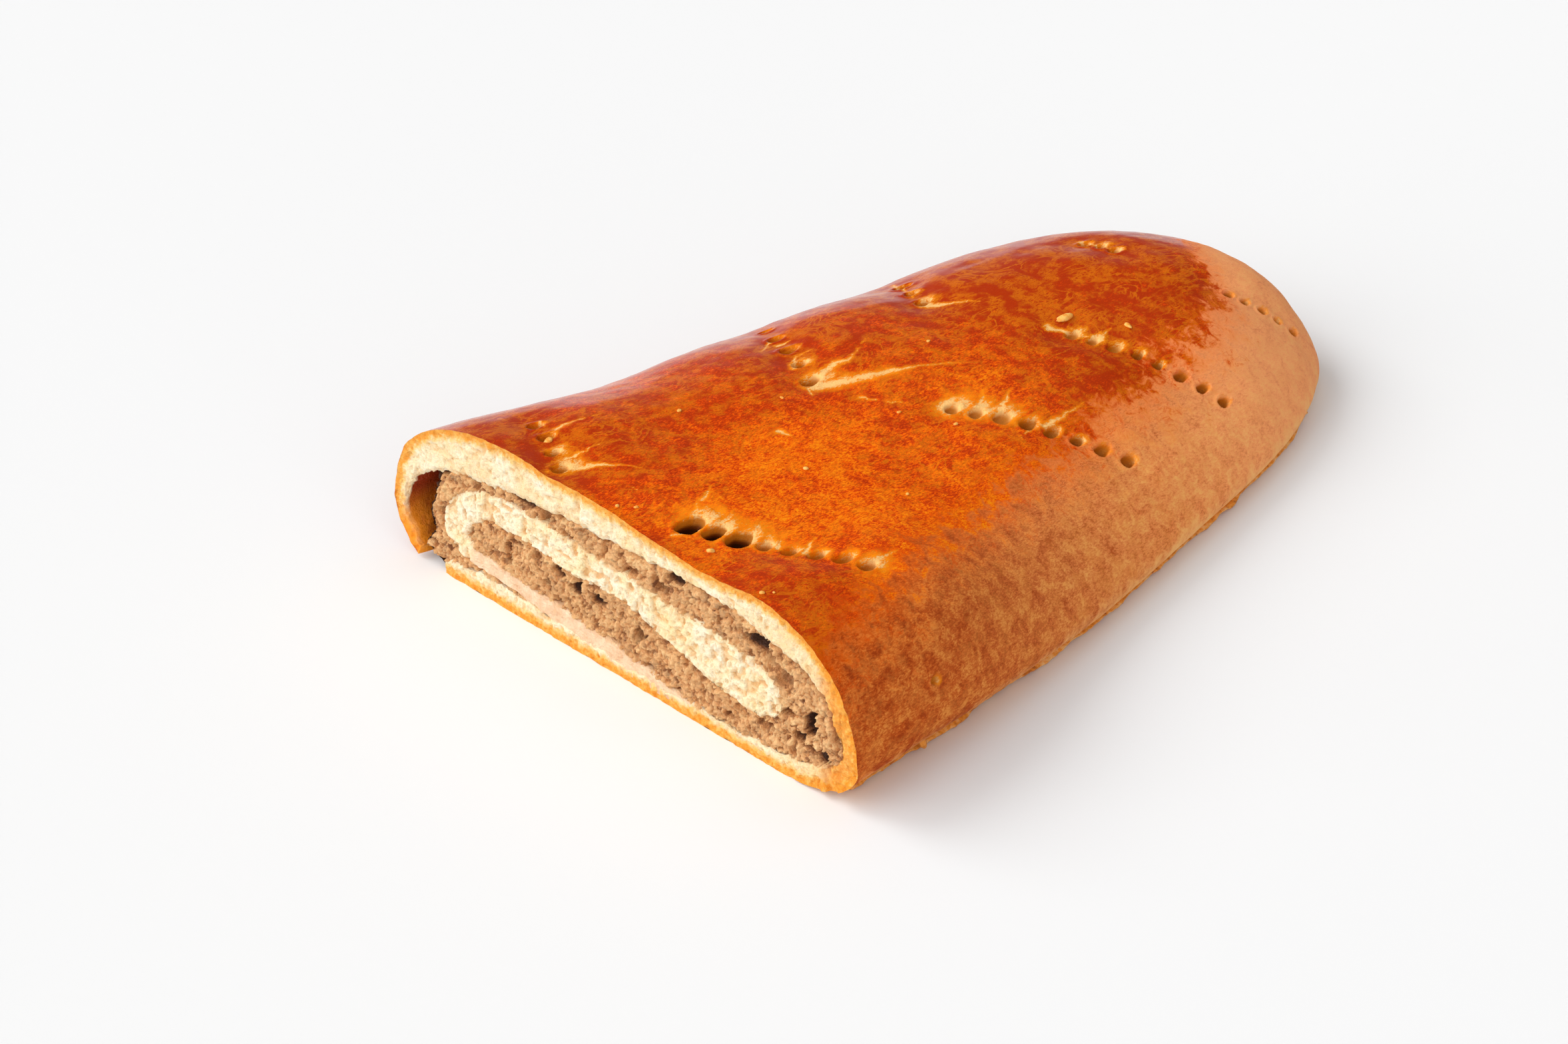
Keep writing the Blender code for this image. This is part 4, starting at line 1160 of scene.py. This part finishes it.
def crumb_material(look):
    """The wrap's cut face: cream crumb with an orange rim of crust, toasted underneath, and in the tunnel
    brown with painted shade, lit low down by a painted gold glow."""
    made, tree, shader, at = start("crumb")
    pores = place(tree, "crumb_pores", pore_group, at, 1.0)
    clouds = speckle(tree, at, 150.0, 5.0, 0.6)
    over_x, _, over_z = add(tree, "ShaderNodeSeparateXYZ", {0: at}).outputs
    warmth = times_plus(tree, span(tree, over_x, 0.045, 0.075), -0.22, clouds)
    colour = ramp(tree, warmth, ((0.28, look.crumb_warm), (0.52, look.crumb_cream), (0.7, look.crumb_white)))
    edge = times_plus(tree, speckle(tree, at, 520.0, 4.0, 0.65), -5.0, tag(tree, "from_edge"))
    edge = maths(tree, "ADD", edge, 1.35)
    under = span(tree, times_plus(tree, clouds, -0.004, over_z), 0.0014, -0.0012)
    right = times_plus(tree, clouds, 0.006, over_x)
    toasted = ramp(tree, speckle(tree, at, 900.0, 4.0, 0.65),
                   ((0.45, look.rim_orange), (0.72, look.rim_gold)))
    lower = span(tree, times_plus(tree, clouds, 0.008, over_z), 0.023, 0.012)
    inward = times(tree, lower, span(tree, over_x, -0.0752, -0.0738))
    beside = times(tree, inward, span(tree, over_x, -0.060, -0.066))
    # Painted light and shade on the tunnel's wall: brown darkened as shade high up, and a bright gold low
    # down standing in for light that comes through the crust.
    tunnel = tagged(tree, "tunnel", 0.0, 0.008)
    wall = mix(tree, lower, look.tunnel_brown_and_shade, look.tunnel_gold_and_glow)
    wall = mix(tree, span(tree, clouds, 0.25, 0.6), look.tunnel_brown_and_shade, wall)
    colour = cover(tree, colour,
                   # Painted shade: crumb_shade darkens the pores and the deeper pits of the relief.
                   (times(tree, pores["Pores"], 0.55), look.crumb_shade),
                   (tagged(tree, "pit", 0.25, 0.9, 0.0, 0.6), look.crumb_shade),
                   (times(tree, under, 0.85), look.toast),
                   (times(tree, span(tree, edge, 2.6, 0.6), 0.85), look.rim_gold),
                   (times(tree, span(tree, edge, 1.2, 0.0), 0.9), toasted),
                   (span(tree, right, 0.0662, 0.0735, 0.0, 0.9), toasted),
                   # The crumb low at the left, beside the tunnel, is laid over with the tunnel's gold.
                   (times(tree, beside, 0.85), look.tunnel_gold_and_glow),
                   (tunnel, wall))
    finish(tree, shader, colour, bump(tree, pores["Height"], 0.0012, 1.0), tunnel, 0.75, 0.38)
    settle(shader, Specular_IOR_Level=0.25, Subsurface_Weight=look.crumb_glow,
           Subsurface_Radius=(1.0, 0.6, 0.3), Subsurface_Scale=0.0014)
    return made


def tongue_material(look):
    """The tongue: open pale yellow crumb, turning into a thin, moist, grey-beige layer as it lies down."""
    made, tree, shader, at = start("tongue_crumb")
    pores = place(tree, "crumb_pores", pore_group, at, 0.9)
    clouds = speckle(tree, at, 120.0, 5.0, 0.6)
    yellow = ramp(tree, clouds, ((0.3, look.crumb_yellow), (0.5, look.crumb_cream), (0.7, look.crumb_white)))
    moist = ramp(tree, speckle(tree, at, 330.0, 5.0, 0.65),
                 ((0.35, look.soggy_dark), (0.65, look.soggy_light)))
    ragged = maths(tree, "SUBTRACT", tag(tree, "soggy"), 0.2)
    wet = span(tree, times_plus(tree, speckle(tree, at, 200.0, 3.0), 0.4, ragged), 0.2, 0.8)
    edge = times_plus(tree, speckle(tree, at, 500.0, 3.0), 0.35, tag(tree, "side"))
    colour = cover(tree, yellow,
                   # Painted shade: crumb_shade darkens the pores and the deeper pits of the relief.
                   (times(tree, pores["Pores"], 0.55), look.crumb_shade),
                   (tagged(tree, "pit", 0.3, 1.1, 0.0, 0.7), look.crumb_shade),
                   (wet, moist),
                   (span(tree, edge, 0.98, 1.25, 0.0, 0.5), look.nut_light_and_top_highlight))
    finish(tree, shader, colour, bump(tree, pores["Height"], 0.0012, 1.0), wet, 0.75, 0.33)
    settle(shader, Specular_IOR_Level=0.3, Subsurface_Weight=look.crumb_glow,
           Subsurface_Radius=(1.0, 0.7, 0.35), Subsurface_Scale=0.0014)
    return made


def nut_material(look):
    """Ground nuts in syrup: grains of unlike browns, with painted highlight on the grain tops, darker with
    painted shade in the creases and darkest with painted shadow in the hollows, with tiny moist glints."""
    made, tree, shader, at = start("ground_nuts")
    cells = add(tree, "ShaderNodeTexVoronoi", {"Vector": at, "Scale": 900.0})
    own = add(tree, "ShaderNodeSeparateColor", {0: cells.outputs[1]}).outputs[0]
    clouds = speckle(tree, at, 190.0, 6.0, 0.68)
    both = times_plus(tree, own, 0.22, times(tree, clouds, 0.85))
    colour = ramp(tree, both, ((0.34, look.nut_dark_and_crease_shade), (0.52, look.nut_brown), (0.74, look.nut_light_and_top_highlight)))
    skins = span(tree, speckle(tree, at, 380.0, 2.0), 0.69, 0.74)
    colour = cover(tree, colour,
                   (times(tree, skins, 0.6), look.nut_skin),
                   # Painted light and shade by the hollow value: highlight on the grain tops, shade in the
                   # creases, shadow in the hollows.
                   (tagged(tree, "hollow", 0.3, 0.0, 0.0, 0.35), look.nut_light_and_top_highlight),
                   (tagged(tree, "hollow", 0.35, 1.3, 0.0, 0.9), look.nut_dark_and_crease_shade),
                   (tagged(tree, "hollow", 1.3, 2.0, 0.0, 0.9), look.nut_shadow))
    glint = span(tree, speckle(tree, at, 2100.0, 2.0), 0.52, 0.66)
    normal = bump(tree, speckle(tree, at, 1900.0, 4.0, 0.65), 0.0009, 0.8)
    finish(tree, shader, colour, normal, glint, 0.6, 0.16)
    settle(shader, Specular_IOR_Level=0.6, Subsurface_Weight=look.crumb_glow * 0.5,
           Subsurface_Radius=(1.0, 0.5, 0.25), Subsurface_Scale=0.0012)
    return made


def seam_material(look):
    """Thin toasted edge of dough: golden to brown, dry."""
    made, tree, shader, at = start("toasted_edge")
    fibre = place(tree, "browned_fibre", fibre_group, at, 1.4)
    colour = ramp(tree, fibre["Mottle"],
                  ((0.32, look.side_dark), (0.48, look.rim_orange), (0.62, look.foot_gold)))
    finish(tree, shader, colour, bump(tree, fibre["Height"], 0.0004, 0.7))
    settle(shader, Roughness=0.6)
    return made


def bit_material(look):
    """Loose crumbs: dry golden crumb."""
    made, tree, shader, at = start("loose_bits")
    colour = ramp(tree, speckle(tree, at, 700.0, 4.0), ((0.40, look.rim_orange), (0.62, look.rim_gold)))
    finish(tree, shader, colour, bump(tree, speckle(tree, at, 2500.0, 3.0), 0.0003, 0.6))
    settle(shader, Roughness=0.65)
    return made


# What a user would change


def length_property(name, default, description):
    """A length in metres."""
    return FloatProperty(name=name, description=description, default=default, min=0.0, unit="LENGTH",
                         precision=5)


def colour_property(name, default, description):
    """A linear colour."""
    return FloatVectorProperty(name=name, description=description, default=default, size=3, min=0.0, max=1.0,
                               subtype="COLOR")


def amount_property(name, default, description, **more):
    """A number from 0 up."""
    return FloatProperty(name=name, description=description, default=default, min=0.0, **more)


class StrudelRoll(bpy.types.PropertyGroup):
    """Sizes of the roll's relief."""

    prick_radius: length_property("Prick Radius", 0.0018, "Radius of a fork prick at the crust")
    prick_depth: length_property("Prick Depth", 0.0042, "Depth of a fork prick")
    crust_step: length_property("Crust Spacing", 0.0013, "Distance between the crust's points")
    crumb_step: length_property("Crumb Spacing", 0.00027, "Distance between the points of the cut dough")
    crumb_openness: amount_property("Crumb Openness", 1.0, "How deep the pores are", max=3.0)
    nut_step: length_property("Nut Spacing", 0.0002, "Distance between the points of the cut filling")
    nut_size: length_property("Nut Size", 0.00105, "Size of a common lump of ground nuts")
    nut_roughness: amount_property("Nut Roughness", 1.1, "How deep the filling's relief is")
    seam_reach: length_property("Seam Reach", 0.0007, "How far the ragged edge stands out at the right foot")


class StrudelLook(bpy.types.PropertyGroup):
    """Colours of the crust, the crumb and the nuts."""

    crust_dark: colour_property("Crust Dark", (0.44, 0.032, 0.001), "Darkest flecks of the glaze")
    crust_deep: colour_property("Crust Deep", (0.66, 0.055, 0.001), "Common colour of the glaze")
    crust_warm: colour_property("Crust Warm", (0.93, 0.130, 0.0005), "Lighter strands of the glaze")
    crust_gold: colour_property("Crust Gold", (0.97, 0.31, 0.005), "Lightest strands and round the cracks")
    crust_pale: colour_property("Crust Pale", (0.98, 0.60, 0.22), "Bare dough in the cracks")
    prick_gold: colour_property("Prick Wall", (0.55, 0.17, 0.010), "Sides of the fork pricks")
    # Painted shade and shadow inside the pricks, darker with depth.
    prick_shadow: colour_property("Torn Prick Shadow", (0.045, 0.012, 0.003), "Bottoms of the torn pricks")
    prick_shade: colour_property("Prick Shade", (0.13, 0.022, 0.002), "Inside a fork prick")
    side_dark: colour_property("Side Dark", (0.36, 0.050, 0.007), "Darkest flecks of the right side")
    side_brown: colour_property("Side Brown", (0.56, 0.098, 0.014), "Common colour of the right side")
    side_light: colour_property("Side Light", (0.78, 0.28, 0.055), "Lightest flecks of the right side")
    # The next three colours are painted light: the right side's far end is paler and pinker for its sheen
    # and the light it catches.
    side_end_sheen: colour_property("Side End Sheen", (0.94, 0.38, 0.17),
                              "Painted pinkish sheen on the right side at the far end")
    side_tan_sheen: colour_property("Side Tan Sheen", (1.0, 0.50, 0.150),
                              "Lightest colour of the right side at the far end")
    side_far_sheen: colour_property("Side Far Sheen", (0.97, 0.33, 0.10),
                              "Common colour of the right side at the far end")
    foot_gold: colour_property("Foot Gold", (0.97, 0.53, 0.19), "Paler dough at the foot")
    rim_orange: colour_property("Rim Orange", (0.90, 0.31, 0.020), "Cut edge of the crust")
    rim_gold: colour_property("Rim Gold", (0.97, 0.54, 0.12), "Between the cut crust and the crumb")
    toast: colour_property("Toast", (0.84, 0.46, 0.13), "Toasted underside at the cut")
    crumb_white: colour_property("Crumb White", (1.0, 0.90, 0.69), "Lightest crumb")
    crumb_cream: colour_property("Crumb Cream", (1.0, 0.82, 0.54), "Common colour of the crumb")
    crumb_warm: colour_property("Crumb Warm", (0.98, 0.68, 0.34), "Warmer crumb")
    crumb_yellow: colour_property("Crumb Yellow", (0.98, 0.76, 0.40), "The tongue's crumb")
    # Painted shade in the pores and pits of the crumb.
    crumb_shade: colour_property("Crumb Shade", (0.88, 0.48, 0.17), "Inside the pores")
    # Painted light and shade in the tunnel: the wall's dark brown is partly painted shade, and its gold low
    # down stands in for light coming through the crust.
    tunnel_brown_and_shade: colour_property("Tunnel Brown and Shade", (0.40, 0.036, 0.001),
                                 "Inner side of the wall beside the tunnel")
    tunnel_gold_and_glow: colour_property("Tunnel Gold and Glow", (1.0, 0.31, 0.011), "The same wall low down")
    soggy_light: colour_property("Soggy Light", (0.98, 0.72, 0.48), "The moist layer, lighter")
    soggy_dark: colour_property("Soggy Dark", (0.84, 0.50, 0.28), "The moist layer, darker")
    # Painted light and shade among the nut colours: the dark one also shades the creases, the hollows one is
    # painted shadow, and the light one also lights the grain tops.
    nut_dark_and_crease_shade: colour_property("Nut Dark and Crease Shade", (0.24, 0.072, 0.013), "Creases between lumps")
    nut_shadow: colour_property("Nut Shadow", (0.060, 0.016, 0.003), "Bottoms of the hollows in the spread")
    nut_brown: colour_property("Nut Brown", (0.74, 0.33, 0.107), "Common colour of the filling")
    nut_light_and_top_highlight: colour_property("Nut Light and Top Highlight", (0.95, 0.59, 0.265), "Lightest lumps")
    nut_skin: colour_property("Nut Skin", (0.17, 0.06, 0.02), "Bits of nut skin")
    crumb_glow: amount_property("Crumb Glow", 0.1, "How much light passes through the crumb", max=1.0)


class StrudelStudio(bpy.types.PropertyGroup):
    """The table, the lights and the camera."""

    table_colour: colour_property("Table", (0.86, 0.86, 0.86), "Colour of the table")
    sky_high: amount_property("Sky High", 0.62, "Light from overhead")
    sky_low: amount_property("Sky Low", 0.17, "Light from low all round")
    key_strength: amount_property("Key Strength", 1.45, "The light from the left")
    key_width: amount_property("Key Width", 0.6, "How wide the key is seen", subtype="ANGLE")
    fill_strength: amount_property("Fill Strength", 1.9, "The light from the front")
    fill_width: amount_property("Fill Width", 1.0, "How wide the fill is seen", subtype="ANGLE")
    side_strength: amount_property("Side Strength", 0.9, "The light from the right")
    side_width: amount_property("Side Width", 1.0, "How wide it is seen", subtype="ANGLE")
    camera_lens: FloatProperty(name="Lens", default=96.73, min=1.0,
                               description="Focal length for a 36 mm wide sensor, in millimetres")


# Operators


class STRUDEL_OT_crust(bpy.types.Operator):
    """Build the outer crust with its pricks and cracks"""

    bl_idname = "strudel.crust"
    bl_label = "Crust"

    def execute(self, context):
        make_crust(context.scene.strudel_roll, crust_material(context.scene.strudel_look))
        return {"FINISHED"}


class STRUDEL_OT_cut_dough(bpy.types.Operator):
    """Build the cut faces of the wrap and of the tongue"""

    bl_idname = "strudel.cut_dough"
    bl_label = "Cut Dough"

    def execute(self, context):
        look = context.scene.strudel_look
        make_rim(context.scene.strudel_roll, crumb_material(look))
        make_tongue(context.scene.strudel_roll, tongue_material(look))
        return {"FINISHED"}


class STRUDEL_OT_filling(bpy.types.Operator):
    """Build the face and the free side of the nut filling"""

    bl_idname = "strudel.filling"
    bl_label = "Nut Filling"

    def execute(self, context):
        material = nut_material(context.scene.strudel_look)
        make_nut_face(context.scene.strudel_roll, material)
        make_nut_side(context.scene.strudel_roll, material)
        return {"FINISHED"}


class STRUDEL_OT_trimmings(bpy.types.Operator):
    """Build the ragged edge and the flakes at the right foot, and the loose crumbs"""

    bl_idname = "strudel.trimmings"
    bl_label = "Seam and Crumbs"

    def execute(self, context):
        look = context.scene.strudel_look
        edge = seam_material(look)
        make_seam(context.scene.strudel_roll, edge)
        make_flakes(edge)
        make_crumbs(context.scene.strudel_roll, bit_material(look))
        return {"FINISHED"}


CAMERA_PLACE = Vector((0.59299, -0.64550, 0.55226))
CAMERA_AIM = Vector((-0.01856, -0.03875, 0.0))
SENSOR_WIDTH = 36.0
TABLE_HALF = 4.0
LIGHTS = {"key": (-0.936, -0.351, 0.80), "fill": (-0.30, -0.95, 0.50), "side": (0.85, -0.50, 0.45)}


class STRUDEL_OT_stage(bpy.types.Operator):
    """Set up the table, the lights and the camera"""

    bl_idname = "strudel.stage"
    bl_label = "Table, Lights and Camera"

    def execute(self, context):
        studio = context.scene.strudel_studio
        make_table(studio)
        make_lights(studio)
        lens = bpy.data.cameras.new("camera")
        lens.lens = studio.camera_lens
        lens.sensor_width = SENSOR_WIDTH
        camera = bpy.data.objects.new("camera", lens)
        camera.location = CAMERA_PLACE
        camera.rotation_euler = (CAMERA_AIM - CAMERA_PLACE).to_track_quat("-Z", "Y").to_euler()
        context.scene.collection.objects.link(camera)
        context.scene.camera = camera
        context.scene.view_settings.view_transform = "Standard"
        return {"FINISHED"}


def make_table(studio):
    """A wide flat square under the roll."""
    mesh = bpy.data.meshes.new("table")
    corners = ((-1, -1), (1, -1), (1, 1), (-1, 1))
    mesh.from_pydata([(x * TABLE_HALF, y * TABLE_HALF, 0.0) for x, y in corners], [], [(0, 1, 2, 3)])
    made = bpy.data.materials.new("table")
    made.use_nodes = True
    settle(made.node_tree.nodes["Principled BSDF"], Base_Color=(*studio.table_colour, 1.0), Roughness=0.9,
           Specular_IOR_Level=0.1)
    mesh.materials.append(made)
    table = bpy.data.objects.new("table", mesh)
    bpy.context.scene.collection.objects.link(table)


def make_lights(studio):
    """A surround, bright overhead and dim low down, and soft lights from the left, front and right."""
    world = bpy.data.worlds.new("surround")
    world.use_nodes = True
    tree = world.node_tree
    around = add(tree, "ShaderNodeTexCoord").outputs["Generated"]
    upward = add(tree, "ShaderNodeSeparateXYZ", {0: around}).outputs[2]
    strength = span(tree, upward, 0.5, 0.8, studio.sky_low, studio.sky_high)
    tree.nodes["Background"].inputs["Color"].default_value = (1.0, 1.0, 1.0, 1.0)
    tree.links.new(strength, tree.nodes["Background"].inputs["Strength"])
    bpy.context.scene.world = world
    for name, towards in LIGHTS.items():
        data = bpy.data.lights.new(name, "SUN")
        data.angle = getattr(studio, f"{name}_width")
        data.energy = getattr(studio, f"{name}_strength")
        lamp = bpy.data.objects.new(name, data)
        lamp.location = towards
        lamp.rotation_euler = (-Vector(towards)).to_track_quat("-Z", "Y").to_euler()
        bpy.context.scene.collection.objects.link(lamp)


class STRUDEL_PT_panel(bpy.types.Panel):
    """Lists the steps and the settings"""

    bl_label = "Nut Strudel"
    bl_idname = "STRUDEL_PT_panel"
    bl_space_type = "VIEW_3D"
    bl_region_type = "UI"
    bl_category = "Strudel"

    def draw(self, context):
        for operator in OPERATORS:
            self.layout.operator(operator.bl_idname)
        for group in (context.scene.strudel_roll, context.scene.strudel_look, context.scene.strudel_studio):
            box = self.layout.box()
            for key in group.__annotations__:
                box.prop(group, key)


OPERATORS = (STRUDEL_OT_crust, STRUDEL_OT_cut_dough, STRUDEL_OT_filling, STRUDEL_OT_trimmings,
             STRUDEL_OT_stage)
GROUPS = {"strudel_roll": StrudelRoll, "strudel_look": StrudelLook, "strudel_studio": StrudelStudio}


def register():
    """Registers the classes and hangs the property groups on the scene."""
    for made in (*GROUPS.values(), *OPERATORS, STRUDEL_PT_panel):
        bpy.utils.register_class(made)
    for key, made in GROUPS.items():
        setattr(bpy.types.Scene, key, PointerProperty(type=made))


def unregister():
    """Takes the property groups and the classes away again."""
    for key in GROUPS:
        delattr(bpy.types.Scene, key)
    for made in (STRUDEL_PT_panel, *reversed(OPERATORS), *GROUPS.values()):
        bpy.utils.unregister_class(made)


def main():
    """Registers the add-on and runs every step in order."""
    register()
    bpy.ops.strudel.crust()
    bpy.ops.strudel.cut_dough()
    bpy.ops.strudel.filling()
    bpy.ops.strudel.trimmings()
    bpy.ops.strudel.stage()


if __name__ == "__main__":
    main()
